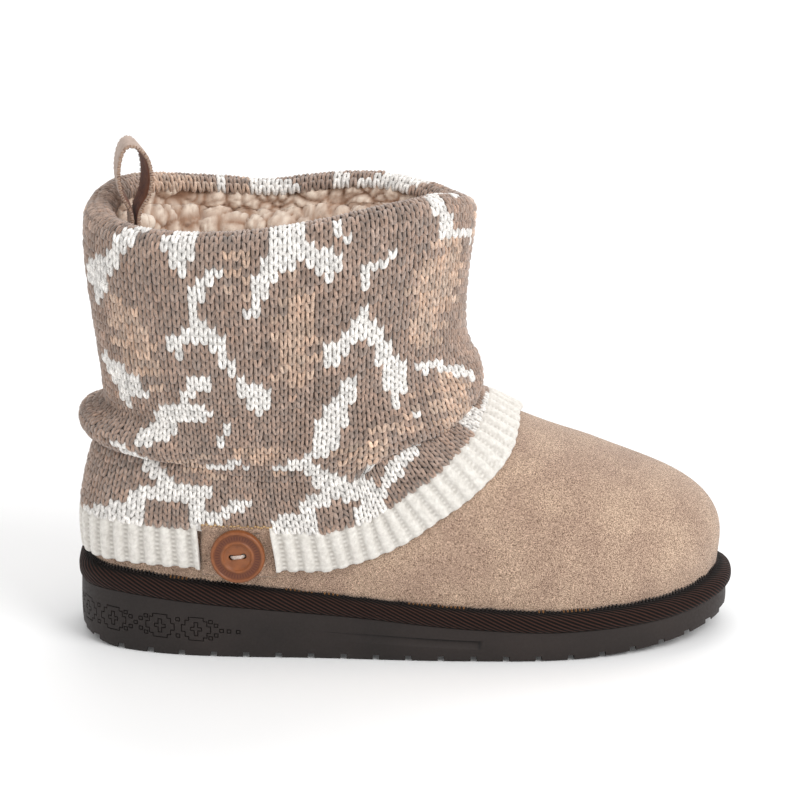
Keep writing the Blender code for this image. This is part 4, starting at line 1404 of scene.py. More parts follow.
def make_insole(material):
    """The footbed, its upper face in the same pile but lower."""
    outer = even_ring(*upper_ring(0), INSOLE_STEPS)
    normal = outward(np.stack([outer, even_ring(*upper_ring(0.5), INSOLE_STEPS)]))[0]
    inner = outer - unit(normal * (1, 1, 0)) * UPPER_WALL
    ring = inner[:, :2] - unit(inner[:, :2] - INSOLE_CENTRE) * 2 * GAP
    low = midsole_top(ring[:, 0]) + GAP
    wall = np.stack([
        np.column_stack([ring, low]),
        np.column_stack([ring, low + 2.5]),
        np.column_stack([ring, low + 4.0]),
        np.column_stack([ring - unit(ring - INSOLE_CENTRE), low + INSOLE_THICK - 0.5]),
    ])
    rows = closed_slab(wall, np.linspace(0.03, 1.0, 26))
    insole = laid_grid("fleece_insole", rows, around=True)
    raise_fleece(insole, lambda points, normals: np.clip(normals[:, 2], 0, 1) ** 2 * 0.6)
    finish_piece(insole, material, "fleece", "insole")


# ==== Knit sleeve ====

WHITE, TAUPE, TAN = (
    np.array(tone(*levels)) for levels in ((240, 236, 231), (162, 138, 123), (205, 176, 154))
)
LEG_LENGTH = 1.52  # of a stitch, in courses
LEG_WIDTH = 0.44  # in wales
FOOT_OUT, HEAD_OUT = 0.11, 0.39  # where a leg starts and ends, in wales from the stitch's middle
LEG_ARCH = 0.8  # how far the middle of a leg stands out
LEG_THICK = 1.5
WHITE_FLUFF = 0.08  # how much thicker the white yarn is
WHITE_BACK_SHADE = 0.95  # how bright the yarn behind the white stitches' faces is painted, as a little painted shade in the gaps
# how dark the yarn behind the other stitches' faces is painted, as painted shade in the gaps
BACK_PAINTED_SHADE = 0.55
BACK_FACE, BACK_LINING = 0.9, 1.75  # how far in its two sides lie
VARY_SIZE, VARY_LEAN = 0.06, 0.05  # from one stitch to the next
VARY_ASIDE, VARY_ALONG, VARY_OFF = 0.03, 0.04, 0.12  # in wales, in courses and in millimetres
VARY_TONE = 0.09  # from one leg to the other
TIP_SHADE = 0.1  # painted shade: how much darker a leg's ends are, where they dip in between the stitches
SHAFT_PARTS = ((-5, 5), (5, 17), (17, 46))  # courses of its three pieces
BAND_COURSES = 26


def leg_out(share):
    """How far a leg's middle line is from the stitch's, at this share of its length."""
    return FOOT_OUT + (HEAD_OUT - FOOT_OUT) * share


def knit_stitch():
    """Two legs that part upwards, flat: X is in wales, Y in courses and Z in millimetres."""
    legs = []
    for side in (-1, 1):
        leg = bead(LEG_LENGTH, LEG_WIDTH, LEG_THICK)
        flat = coordinates(leg)
        share = flat[:, 1] / LEG_LENGTH + 0.5
        arch = LEG_ARCH * (1 - np.abs(2 * share - 1) ** 2.2) + 0.3 * (1 - share)
        x, z = flat[:, 0] + side * leg_out(share), flat[:, 2] + arch - LEG_ARCH
        move_to(leg, np.stack([x, flat[:, 1], z], 1))
        legs.append(leg)
    return join_all(legs)


MOST_STRETCH = 7.2  # of a stitch, in millimetres; a longer one lies in the fold and is left out
BAND_STITCH = 3.6  # the width of a stitch in front, where the shaft is folded over the band
REPEAT = 56  # wales of the pattern, which goes twice round the sleeve
RIM_FROM = -1.5  # the course above which the collar's own strokes are charted, all round
# Strokes of white yarn: a wale, a course and a half width for each of their points.
SHAFT_STROKES = (
    # on the shaft, in courses down from the collar's edge
    ((68.6, -3.2, 0.9), (67.2, -0.6, 0.9), (65, 2.4, 1), (63.2, 5, 1.1), (62, 7.6, 0.8)),
    ((65.4, 2.6, 0.8), (62.4, 3.8, 1.2), (60.2, 5, 1.1)),
    ((73.6, -3.5, 1.5), (73.7, -0.5, 1.8), (73.8, 0.9, 1.2), (74, 2.3, 0.5)),
    ((78.1, 2.5, 0.5), (76.8, 3.1, 0.8), (75.5, 4.2, 0.8), (75.5, 6, 0.5), (75.4, 8.4, 0.5),
     (75.4, 9.8, 0.8)),
    ((75.6, 9.7, 0.9), (74, 10.5, 1), (72.5, 11.2, 1.1), (73, 12.6, 0.7)),
    ((75.8, 9.4, 0.8), (77.3, 11.2, 0.9), (78.3, 13.2, 0.7), (79.5, 15.3, 0.6), (80.4, 16.4, 0.9),
     (81.7, 17.9, 1.6), (82, 19.2, 1.2)),
    ((85.4, -2.5, 1.7), (85.3, 0.8, 1.9), (83.9, 2.4, 1.4), (82.9, 4.2, 1.1), (82.2, 5.8, 0.9),
     (81.5, 7.4, 0.6), (81.4, 8.6, 0.3)),
    ((87.6, 1.3, 0.9), (89.6, 2.2, 1.5), (90, 3.6, 1.1), (90, 4.8, 0.45)),
    ((90.9, -2, 0.5), (91.6, 0.4, 0.55)),
    ((93.6, 7, 0.5), (93.8, 5.7, 0.8), (94.9, 4.6, 0.7), (96.4, 4, 0.5), (97.3, 3.9, 0.35)),
    ((102.4, -1.8, 1.1), (103.2, 1, 0.9), (103.4, 2.3, 0.7), (106, 2.6, 0.6), (109, 3, 0.7)),
    ((103, -3.4, 0.9), (105, -3.4, 0.7), (107.4, -2.6, 0.6)),
    ((93.6, 9.8, 0.6), (93.7, 11.5, 1.4), (92, 12.9, 1.1), (90.9, 13.5, 1.3), (90.7, 14.6, 1)),
    ((94.6, 12.4, 1), (95.9, 14, 0.9), (96.6, 16.4, 0.9), (97.8, 18.2, 1.5), (98.3, 20.4, 1),
     (98.1, 22.2, 0.5)),
    ((100.6, 18.6, 0.4), (102, 18.8, 0.6), (103.6, 18.2, 0.7), (104.6, 19, 0.5), (106, 19.4, 0.8),
     (108, 20, 0.8)),
    ((61.8, 14.6, 1), (63.8, 15.6, 1.4), (66, 16.6, 1.4), (67.6, 17.6, 0.8)),
    ((63.8, 16.6, 0.8), (64.4, 18.4, 0.6), (65, 19.4, 0.4)),
    ((73, 19, 0.45), (73.4, 17.4, 0.6), (74.6, 16, 0.8), (75.9, 16, 0.7)),
    ((100.2, 23.6, 0.5), (100.5, 24.8, 0.4)),
    ((35, -3, 0.7), (35, -7, 0.6)),
    ((30.2, -3.5, 1.6), (28, -5, 2.2), (26.5, -7, 1.2)),
    ((20.8, -3, 0.9), (20.4, -7, 0.9)),
    ((17.2, -5.4, 1.4), (14.6, -4.2, 1.9), (12.4, -3.4, 1.3), (10.6, -2.6, 0.8)),
)
BAND_STROKES = (
    # on the band, in courses up from the rib
    ((69.6, 14.8, 1), (71.5, 15.2, 1.1), (73.5, 15.2, 1), (75.7, 15, 0.7)),
    ((67.4, 12, 1.1), (69.2, 12.8, 1.3), (71, 14.2, 1.2)),
    ((64.6, 10.4, 0.7), (65.8, 9.4, 1), (66.8, 8, 0.9), (67.8, 6.8, 0.9), (69.2, 5.6, 0.9),
     (70.6, 4.8, 0.9)),
    ((66.2, 3.3, 0.7), (69, 4, 1), (72, 4.2, 0.9), (74.5, 4.3, 0.9), (75.3, 4.6, 0.4)),
    ((73.4, 3, 0.6), (73.4, 0, 0.6)),
    ((73.4, 1.6, 0.6), (75.6, 1.7, 0.7), (77.2, 2.2, 0.6), (78.6, 3.2, 0.7), (79.8, 3.5, 0.5)),
    ((77.9, 13.6, 0.4), (77.2, 12, 0.5), (77.3, 10.8, 0.4)),
    ((75, 8, 0.4), (77, 8, 0.4), (78.6, 8.8, 0.45), (79.8, 8.2, 0.4)),
    ((92.8, 17.2, 1.1), (92.1, 15.4, 1.1), (90.8, 13.6, 1.8), (90, 11.6, 1.6), (88.8, 9.8, 0.9),
     (87, 8.6, 0.7), (85.2, 8.1, 0.6), (83.4, 8, 0.4)),
    ((88.6, 7.8, 0.8), (89.6, 6.4, 1.1), (91.4, 5, 1.3), (93.6, 4, 1.4), (95, 3, 1.3),
     (95.6, 1.4, 1.2)),
    ((94.9, 5.4, 0.7), (95.5, 4.2, 0.8)),
    ((96.8, 2.2, 0.6), (98, 3.1, 0.9), (99.6, 4, 1), (101, 4.6, 0.8)),
    ((86.8, 2.6, 0.7), (88.4, 3.6, 0.8), (90.4, 4.6, 0.9)),
)
WHITE_TOP = (
    # a wale, and the course up to which the band is all white above the rib
    (57, 0.3), (60, 0.4), (62, 1.2), (64, 2.1), (66, 2.9), (67.6, 3.2), (67.7, 0.3), (72.7, 0.3),
    (72.8, 3.2), (73.9, 3), (74, 1.3), (76.5, 1.2), (76.6, -1), (82.3, -1), (82.4, 1.3),
    (84, 2.2), (88, 2.6), (88.1, -0.7), (92, -0.7), (92.1, 2.6), (96.3, 2.2), (96.4, -0.6),
    (105.1, -0.3), (105.2, 3.4), (108.4, 3), (108.5, 0.8), (112, 0.6), (112.9, 0.4),
)
TAN_PATCHES = (
    ((66, 7.5, 1.6), (67, 11.5, 2.6), (68.6, 14.5, 1.6)),
    ((80.4, 0, 0.8), (80.6, 3.4, 1), (80, 5, 0.6)),
    ((86.6, 5.2, 1.3), (86.6, 10, 2.3), (86, 15.6, 1.7)),
    ((104.4, 5, 2.6), (103.4, 9, 3.6), (101.6, 14, 2.2)),
    ((105, 21.4, 1.8), (104.4, 25, 2.4)),
    ((79.5, 24.5, 1.3), (83.5, 25.5, 1.7)),
    ((71.5, 26.6, 1.1), (75.5, 27.4, 1.4)),
    ((91.5, 26.4, 1.2), (94.5, 27.2, 1.2), (97.5, 25.2, 1.1), (100.4, 22.6, 0.9)),
    ((39.4, -5, 3), (43, -5, 3)),
    ((28, -6, 3), (31, -6, 3)),
    ((112, -2, 2.2), (112, 3.5, 1.6)),
)


def inside_any(strokes, wale, course):
    """Whether each stitch lies in one of these strokes; the wales go round."""
    found = np.zeros(np.shape(wale), bool)
    for points in strokes:
        for (w0, c0, r0), (w1, c1, r1) in zip(points, points[1:]):
            aside = np.mod(wale - w0 + WALES / 2, WALES) - WALES / 2
            along = np.array([w1 - w0, c1 - c0], float)
            t = np.clip((aside * along[0] + (course - c0) * along[1]) / (along @ along), 0, 1)
            away = np.hypot(aside - t * along[0], course - c0 - t * along[1])
            found |= away < r0 + (r1 - r0) * t
    return found


def jacquard(knit, cloth, wale, course):
    """Each stitch's dye: white strokes and tan patches on taupe."""
    wale = np.mod(wale, WALES)
    down, up = knit.chart_rows(cloth, course)
    charted = np.where((wale <= REPEAT) & (down > RIM_FROM), wale + REPEAT, wale)
    flat = knit.flat[np.minimum((wale * FINE).astype(int), WALES * FINE - 1)]
    on_shaft = flat | (cloth == "shaft")
    on_band = flat | (cloth == "band")
    ragged = 0.9 * np.sin(charted * 12.99 + np.floor(down) * 78.2)
    tan = inside_any(TAN_PATCHES, charted + ragged, down + ragged)
    in_band = inside_any(BAND_STROKES, charted, up) | (up < np.interp(charted, *zip(*WHITE_TOP)))
    white = inside_any(SHAFT_STROKES, charted, down) & on_shaft | in_band & on_band
    share = 0.82 + 0.18 * np.sin(charted * 5.1 + np.floor(down) * 3.7)
    colour = TAUPE + (TAN - TAUPE) * (tan * share)[:, None]
    return np.where(white[:, None], WHITE, colour), white


def stitch_colours(knit, cloth, wale, course, chance):
    """The dye of each stitch, a little uneven from one to the next and over the cloth."""
    colour, white = jacquard(knit, cloth, wale, course)
    uneven = np.where(white, 0.02, 0.1) * chance.standard_normal(len(wale))
    broad = 0.07 * np.sin(wale * 0.55 + 1.3 * np.sin(course * 0.31))
    broad = broad * np.sin(course * 0.42 + wale * 0.13)
    tint = np.array([0.05, 0.0, -0.04]) * (0.5 * chance.standard_normal(len(wale)))[:, None]
    bright = 1 + uneven + np.where(white, 0, broad)
    return colour * bright[:, None] * (1 + tint * ~white[:, None])


def lay_stitches(knit, name, cloth, places, upwards, material, seed):
    """Stitches at these wales and courses of the band or the shaft, each one bent to the cloth."""
    wale, course, width = places
    chance = np.random.default_rng(seed)
    piece = knit_stitch()
    piece.name = piece.data.name = name
    shape = coordinates(piece)
    count = len(wale)
    apply_modifier(piece, "ARRAY", count=count, use_relative_offset=False)

    def varying(by, columns=1):
        return by * chance.standard_normal((count, columns))

    grow, lean = 1 + varying(VARY_SIZE), varying(VARY_LEAN)
    leg = (np.arange(len(shape)) >= len(shape) // 2).astype(int)
    axis = (2 * leg - 1) * leg_out(shape[:, 1] / LEG_LENGTH + 0.5)
    fluff = 1 + WHITE_FLUFF * jacquard(knit, cloth, wale, course)[1][:, None]
    aside = (axis + (shape[:, 0] - axis) * fluff) * grow
    aside = aside + varying(VARY_ASIDE) + lean * shape[:, 1]
    w = wale[:, None] + aside * width[:, None]
    c = course[:, None] + upwards * (shape[:, 1] + varying(VARY_ALONG))
    off = shape[:, 2] + varying(VARY_OFF)
    points, normals = knit.place(cloth, w, c)
    move_to(piece, (points + normals * off[..., None]).reshape(-1, 3))
    colours = stitch_colours(knit, cloth, wale, course, chance)
    per_leg = 1 + varying(VARY_TONE, 2)
    from_middle = np.abs(shape[:, 1]) / (LEG_LENGTH / 2)
    # painted shade: each leg darker towards its ends
    tip_shade = 1 - TIP_SHADE * np.clip(from_middle - 0.55, 0, 1) / 0.45
    full = colours[:, None, :] * (per_leg[:, leg] * tip_shade)[..., None]
    paint_points(piece, "yarn", full.reshape(-1, 3))
    piece.data.shade_smooth()
    return finish_piece(piece, material, "knit")


def kept_stitches(knit, cloth, wales, low, high):
    """Wales, courses and widths of the stitches in these rows, but not of what the fold hides."""
    (wale, width), course = wales, np.arange(low, high)[:, None] + 0.5
    wale, width, course = (part.ravel() for part in np.broadcast_arrays(wale, width, course))
    kept = course < knit.rows[cloth][(np.mod(wale, WALES) * FINE).astype(int)]
    ends = [knit.place(cloth, wale, course + end)[0] for end in (-0.8, 0.8)]
    sides = [knit.place(cloth, wale + side * width, course)[0] for side in (-0.4, 0.4)]
    kept &= np.linalg.norm(ends[1] - ends[0], axis=-1) < MOST_STRETCH
    kept &= np.linalg.norm(sides[1] - sides[0], axis=-1) < 0.8 * MOST_STRETCH
    turn = np.degrees(angle_of(knit.place(cloth, wale, course)[0]))
    kept &= (turn < RIB_OPEN[0]) | (turn > RIB_OPEN[1]) | (course > 1) | (cloth == "shaft")
    return wale[kept], course[kept], width[kept]


def even_wales(knit):
    """The band's columns: the shaft's own, but evenly spread where the shaft folds over them."""
    flat = knit.flat[::FINE]
    own = np.nonzero(flat)[0]
    first, last = own.max() + 0.5, own.min() - 0.5 + WALES
    fine = np.linspace(first, last, 600)
    run = distances(knit.place("band", fine, 1.5 + 0 * fine)[0])
    count = round(run[-1] / BAND_STITCH)
    bounds = np.interp(np.linspace(0, run[-1], count + 1), run, fine)
    spread = (bounds[1:] + bounds[:-1]) / 2
    wale = np.concatenate([own, spread])
    width = np.concatenate([np.ones(len(own)), np.diff(bounds)])
    return wale, width


def make_knit(knit, yarn):
    """The sleeve's stitches: the shaft's in three pieces and the band's, and the back of both."""
    every_wale = (np.arange(WALES) * 1.0, np.ones(WALES))
    for number, (low, high) in enumerate(SHAFT_PARTS):
        places = kept_stitches(knit, "shaft", every_wale, low, high)
        name = f"knit_shaft_{number + 1}"
        piece = lay_stitches(knit, name, "shaft", places, -1, yarn, 10 + number)
        if number == 0:
            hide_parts("knit_sleeve")
    places = kept_stitches(knit, "band", even_wales(knit), 0, BAND_COURSES)
    lay_stitches(knit, "knit_band", "band", places, 1, yarn, 20)
    for cloth in ("band", "shaft"):
        make_backing(knit, cloth, yarn)


def make_backing(knit, cloth, material):
    """The back of the cloth, painted darker as shade, which shows through the gaps between the
    stitches' faces.
    """
    first = -1 if cloth == "band" else -5 * FINE
    from_row = first - FIRST_ROWS[cloth]
    grid = knit.grids[cloth][from_row::2, ::FINE]
    normal = knit.normals[cloth][from_row::2, ::FINE]
    course, wale = np.mgrid[0 : len(grid), 0 : grid.shape[1]]
    course = (course * 2 + first) / FINE
    dyes_and_shade, white = jacquard(knit, cloth, wale.ravel() * 1.0, (np.floor(course) + 0.5).ravel())
    # painted shade: the back's dye darkened
    dyes_and_shade = (dyes_and_shade * np.where(white, WHITE_BACK_SHADE, BACK_PAINTED_SHADE)[:, None]).reshape(*grid.shape)
    if cloth == "shaft":
        grid, normal, dyes_and_shade = grid[::-1], normal[::-1], dyes_and_shade[::-1]
    rows = np.concatenate([grid - normal * BACK_FACE, (grid - normal * BACK_LINING)[::-1]])
    piece = laid_grid(f"knit_back_{cloth}", rows, around=True, over=True)
    full = np.concatenate([dyes_and_shade, dyes_and_shade[::-1]]).reshape(-1, 3)
    known = dict(zip(places_of(rows), full.tolist()))
    plain = (TAUPE * BACK_PAINTED_SHADE).tolist()
    found = [known.get(place, plain) for place in places_of(coordinates(piece))]
    paint_points(piece, "yarn", np.array(found))
    finish_piece(piece, material, "knit")


RIB_PITCH = 7.3  # between two ribs along the hem, at the heel
RIB_PITCH_IN_FRONT = 6.3
RIB_COLUMNS = 12  # of points across a rib
RIB_STITCH = 1.9  # between two bars of a hollow, up the rib
RIB_OPEN = (TAB_FROM + 1.3, TAB_TO + 0.4)  # degrees round, where the tab interrupts the ribs
RIB_END_LIFT = 1  # of its ends, that lie on the tab
RIB_UNDER = 2.2  # how far its upper end goes on under the band
RIB_LIT_IN_FRONT = 0.45  # how much paler its hollows are in front, where light falls into them


def rib_columns(knit):
    """Columns of the hem, in wales, and how many ribs from its first end each one lies."""
    edge_angle = np.degrees(np.unwrap(angle_of(knit.grids["band"][0])))
    wales = np.arange(WALES * FINE) / FINE
    last, first = (np.interp(360 + end, edge_angle, wales) for end in RIB_OPEN)
    wale = np.linspace(first, last + WALES, 2000)
    row = rib_row(knit, wale, 5.0, 0 * wale)
    pitch = np.interp(row[:, 0], (-110, 60), (RIB_PITCH, RIB_PITCH_IN_FRONT))
    counted = np.append(0, np.cumsum(np.diff(distances(row)) / pitch[1:]))
    ribs = round(counted[-1])
    phase = np.linspace(0, ribs, ribs * RIB_COLUMNS + 1)
    return np.interp(phase, counted / counted[-1] * ribs, wale), phase, ribs


def make_rib(knit, material):
    """The ribbed hem: a rounded column of stitches and a hollow in turn, open round the tab."""
    wale, phase, ribs = rib_columns(knit)
    aside = np.abs(phase - np.round(phase))  # from the middle of the nearest rib, in ribs
    raised = smooth_step(0.41, 0.2, aside)
    crown = np.cos(aside * 2.6) ** 2
    island = np.exp(-(((aside - 0.5) / 0.12) ** 2))  # the purl stitches between two ribs
    lift = RIB_END_LIFT * smooth_step(0.55, 0.1, np.minimum(phase, ribs - phase))
    rows, hollow = [], []
    for run in (RIB_HEIGHT + RIB_UNDER, 13.0, 9.0, 5.0, 2.0, 0.8):  # down its back
        rows.append(rib_row(knit, wale, run, lift + (KNIT_EASE + 0.1 - KNIT_MIDDLE)))
        hollow.append(0 * wale)
    rows.append(rib_row(knit, wale, 0.0, lift + raised * 0.6 - 1.2))
    hollow.append(1 - raised)
    for run in (0.15, 0.5, 1.0, *np.linspace(1.5, RIB_HEIGHT + RIB_UNDER, 44)):  # and up its face
        bars = np.cos(2 * pi * run / RIB_STITCH + 0.6 * np.sin(phase * 2.3))
        legs = np.cos(2 * pi * (run / RIB_STITCH - 1.6 * aside)) * raised * aside * 4
        rounded = -1.3 * (1 - min(run / 1.6, 1)) ** 2
        ends = smooth_step(RIB_HEIGHT + RIB_UNDER, RIB_HEIGHT - 1.2, run)
        drawn_in = smooth_step(2.4, 0.8, run)  # of the purl stitches, towards the edge
        off = -0.55 + (0.95 * raised + 0.7 * crown) * (0.6 + 0.4 * ends) + 0.07 * legs
        off = off + island * (0.5 + 0.28 * bars + 0.3 * drawn_in)
        scallop = 0.9 * (raised - 0.5) * (1 - min(run / 3, 1))
        rows.append(rib_row(knit, wale, run - scallop, off + lift + rounded - 1.1 * (1 - ends)))
        # painted shade in the hollows: darker between the purl stitches' bars and between a rib's
        # legs
        bar_shade = np.clip(0.5 - 0.5 * bars, 0, 1) * island + 0.62 * (1 - island)
        leg_shade = 0.25 * raised * np.clip(-legs, 0, 1)
        hollow.append((1 - raised) * bar_shade * (1 - 0.7 * drawn_in) + leg_shade)
    grid = np.stack(rows)
    hollow = np.stack(hollow) * (1 - RIB_LIT_IN_FRONT * smooth_step(-60.0, 30.0, grid[..., 0]))
    rib = laid_grid("knit_rib", grid, over=True)
    mark_nearest(rib, "hollow", grid, hollow)
    edit(rib, close_ends)
    rib.data.shade_smooth()
    finish_piece(rib, material, "knit")


def close_ends():
    """Fills the flat ends of an open tube."""
    bpy.ops.mesh.select_all(action="DESELECT")
    bpy.ops.mesh.select_mode(type="EDGE")
    bpy.ops.mesh.select_non_manifold()
    bpy.ops.mesh.edge_face_add()
    bpy.ops.mesh.select_all(action="SELECT")
    face_out()


def rib_row(knit, wale, run, off):
    """Points in these wales, this far up from the hem's edge and this far off the cloth."""
    course = (np.asarray(run) + 0 * wale - RIB_HEIGHT) / knit.course_at(wale)
    points, normals = knit.place("band", wale, course)
    return points + normals * off[:, None]


# ==== Tab, button and pull loop ====

TAB_GRID = (36, 28)  # its points, round and up
TAB_STITCHES = 21
TAB_STITCH_DOWN = 1.7  # from the tab's top to their row
TAB_OVER_KNIT = 1.5  # how much further out its top lies, over the band

BUTTON_AT = -115.1  # degrees round the shaft
BUTTON_Z = 46.2
BUTTON_HOLE_RADIUS = 1.25
BUTTON_HOLE_SPACING = 5.2
BUTTON_TICKS = 46
BUTTON_RING = 8.5  # the middle of its sunk ring, out from its own middle
BUTTON_TILT = 8  # degrees that the holes are turned from level
BUTTON_EDGE_ANGLE = 40  # degrees, past which an edge of it stays sharp
BUTTON_FACE_FROM = 7  # the first point of its profile that is on its face
BUTTON_STRANDS = ((-0.42, 3.15), (0.35, 3.25), (-0.05, 3.5))  # of thread: aside, height
BUTTON_PROFILE = (
    # out from the middle, height, from the back's middle round the rim to the face's middle
    (0, 0), (6, 0), (10.3, 0), (11, 0.25), (11.4, 0.8), (11.5, 1.6), (11.5, 2.7),
    (11.35, 3.4), (11, 3.85), (10.6, 4), (10.25, 3.95), (10, 3.7), (9.85, 3.5), (9.5, 3.42),
    (8.3, 3.4), (7.25, 3.42), (7, 3.55), (6.75, 3.82), (6.45, 3.92), (6.1, 3.85), (5.85, 3.55),
    (5.7, 3.2), (5.4, 2.95), (4.6, 2.82), (2.6, 2.74), (0, 2.7),
)

LOOP_WIDTH = 17
LOOP_PLY = 2
LOOP_PLY_GAP = 0.3
LOOP_TOP_Z = 214
LOOP_BELLY_Z = 200
LOOP_BELLY = 14.4  # how wide it opens
LOOP_SEWN_Z = 181  # up to where its two legs lie together
LOOP_OPEN_Z = 186
LOOP_FOOT_Z = 172
LOOP_X = -114.1
LOOP_SWAY = (
    # height, how far forward
    (172, 0), (186, 0), (198, -0.2), (207, -0.5), (214, -1.4),
)
LOOP_TWIST = 10  # degrees that it is turned from the boot's middle plane
LOOP_SPREAD = 0.14  # how much further its front leg is turned
LOOP_STEPS = 90  # along it
WHIP_STEP = 1.05  # between two of the stitches that bind the strap's edges
WHIP_FREE = 4  # of the strap's ends, without stitches
WHIP_LEANS = (-0.2, 0.35)  # of every other stitch


def pinched(outer, inner):
    """Rows of a slab between two faces, its sides drawn together; laid with `over`."""
    first = (outer[:, :1] + inner[:, :1]) / 2
    last = (outer[:, -1:] + inner[:, -1:]) / 2
    front = np.concatenate([first, outer, last], 1)
    back = np.concatenate([first, inner, last], 1)
    return np.concatenate([front, back[::-1]])


def make_tab(suede, gold):
    """The suede tab behind the button, with a row of gold stitches along its upper edge."""
    across, up = TAB_GRID
    angle = np.radians(np.linspace(TAB_FROM, TAB_TO, across))
    share = np.linspace(0, 1, up)
    z = TAB_BOTTOM + (TAB_TOP - TAB_BOTTOM) * share
    angle, z = np.meshgrid(angle, z)
    aside = np.abs(np.linspace(-1, 1, across))[None]
    near_edge = np.maximum(aside, np.abs(2 * share[:, None] - 1)) ** 14
    swell = 0.25 * np.sin(angle * 23) * np.cos(z / 6)
    over_band = TAB_OVER_KNIT * smooth_step(TAB_TOP - 7.0, TAB_TOP - 2.5, z)
    off = GAP + TAB_THICK - 0.55 * near_edge + swell * (1 - near_edge) + over_band
    outer, _ = FACE.at(angle, z, off)
    inner, _ = FACE.at(angle, z, 0 * z + GAP)
    tab = laid_grid("suede_tab", pinched(outer, inner), over=True)
    finish_piece(tab, suede, "suede", "button_tab")
    places = np.radians(np.linspace(TAB_FROM + 0.8, TAB_TO - 0.8, TAB_STITCHES))
    level = TAB_TOP - TAB_STITCH_DOWN + 0.35 * np.sin(np.arange(TAB_STITCHES) * 2.3)
    points, normal = FACE.at(places, level, GAP + TAB_THICK + TAB_OVER_KNIT + 0.1)
    frames = frames_along(points, np.gradient(points, axis=0), normal)
    finish_piece(copies_of(bead(1.35, 1.0, 0.9), "tab_stitches", frames), gold, "suede")


def button_seat():
    """The middle of the button's back, and its axes: along its two holes, across them, and out."""
    seat, normal = FACE.at(radians(BUTTON_AT), BUTTON_Z)
    before, after = (FACE.at(radians(BUTTON_AT + turn), BUTTON_Z)[0] for turn in (-4, 4))
    right = after - before
    x_axis, z_axis = unit(right), unit(np.cross(right, np.cross(normal, right)))
    y_axis = np.cross(z_axis, x_axis)
    c, s = cos(radians(BUTTON_TILT)), sin(radians(BUTTON_TILT))
    axes = np.stack([x_axis * c + y_axis * s, y_axis * c - x_axis * s, z_axis])
    return seat + unit(normal) * (2 * GAP + TAB_THICK), axes


def make_button(resin, thread):
    """A turned disc with a raised rim, a sunk ring, a dished middle and two holes, sewn on."""
    turn = np.linspace(0, 2 * pi, 97)[:-1]
    rows = [np.column_stack([r * np.cos(turn), r * np.sin(turn), 0 * turn + h])
            for r, h in BUTTON_PROFILE]
    button = laid_grid("turned_button", np.stack(rows), around=True)
    share = grid_uv(button)
    rings = np.array([out for out, _ in BUTTON_PROFILE])
    rings[:BUTTON_FACE_FROM] = -5.0  # off the ring's colours
    across = np.interp(share[:, 1], np.linspace(0, 1, len(rings)), rings)
    set_uv(button, "turned", np.stack([share[:, 0], across], 1))
    for side in (-0.5, 0.5):
        place = (side * BUTTON_HOLE_SPACING * MM, 0, 0.002)
        hole = added(bpy.ops.mesh.primitive_cylinder_add, vertices=24,
                     radius=BUTTON_HOLE_RADIUS * MM, depth=0.02, location=place)
        apply_modifier(button, "BOOLEAN", object=hole, operation="DIFFERENCE")
        bpy.data.objects.remove(hole)
    place, axes = button_seat()
    move_to(button, coordinates(button) @ axes + place)
    pick_only(button)
    bpy.ops.object.shade_smooth_by_angle(angle=radians(BUTTON_EDGE_ANGLE))
    finish_piece(button, resin, "button_resin", "button")

    strands = []
    for aside, height in BUTTON_STRANDS:
        strand = bead(BUTTON_HOLE_SPACING + 1.2, 0.85, 0.8, 8, 9)
        flat = coordinates(strand)
        reach = np.abs(flat[:, 1]) / (BUTTON_HOLE_SPACING / 2)
        sag = 1.9 * np.maximum(reach - 0.72, 0) ** 1.2 * 2.2  # down into the holes
        local = np.stack([flat[:, 1], aside - flat[:, 0], flat[:, 2] + height - sag], 1)
        move_to(strand, local @ axes + place)
        strands.append(strand)
    sewn = join_all(strands)
    sewn.name = sewn.data.name = "button_thread"
    edit(sewn, face_out)
    sewn.data.shade_smooth()
    finish_piece(sewn, thread, "button_resin")


def loop_path():
    """The strap's middle line in its own plane, from one foot over the top to the other."""
    half = (LOOP_BELLY - LOOP_PLY) / 2
    stem = (LOOP_PLY + LOOP_PLY_GAP) / 2
    side = [(stem, LOOP_FOOT_Z), (stem, LOOP_SEWN_Z), (stem + LOOP_PLY / 2, LOOP_OPEN_Z)]
    rise = LOOP_TOP_Z - LOOP_PLY / 2 - LOOP_BELLY_Z
    drop = LOOP_BELLY_Z - LOOP_OPEN_Z
    for a in np.linspace(-0.25 * pi, 0.5 * pi, 9)[:-1]:
        side.append((half * cos(a), LOOP_BELLY_Z + sin(a) * (rise if a > 0 else drop)))
    top = (0.0, LOOP_TOP_Z - LOOP_PLY / 2)
    line = np.array([*side, top, *[(-x, z) for x, z in side[::-1]]])
    line[:, 0] += smooth_curve(*zip(*LOOP_SWAY))(line[:, 1])
    curve = natural_spline(line)
    fine = np.array([curve(level) for level in np.linspace(0, len(line) - 1, 25 * len(line))])
    return even_steps(fine, LOOP_STEPS)


def loop_placed(points):
    """Points of the loop's own plane, its legs spread and turned, where it stands on the collar."""
    turned = np.array(Matrix.Rotation(radians(LOOP_TWIST), 3, "Z"))
    spread = LOOP_SPREAD * np.clip(points[..., :1] / 6, -0.2, 1) * points[..., 1:2]
    return (points - spread * (1, 0, 0)) @ turned.T + np.array([LOOP_X, 0, 0])


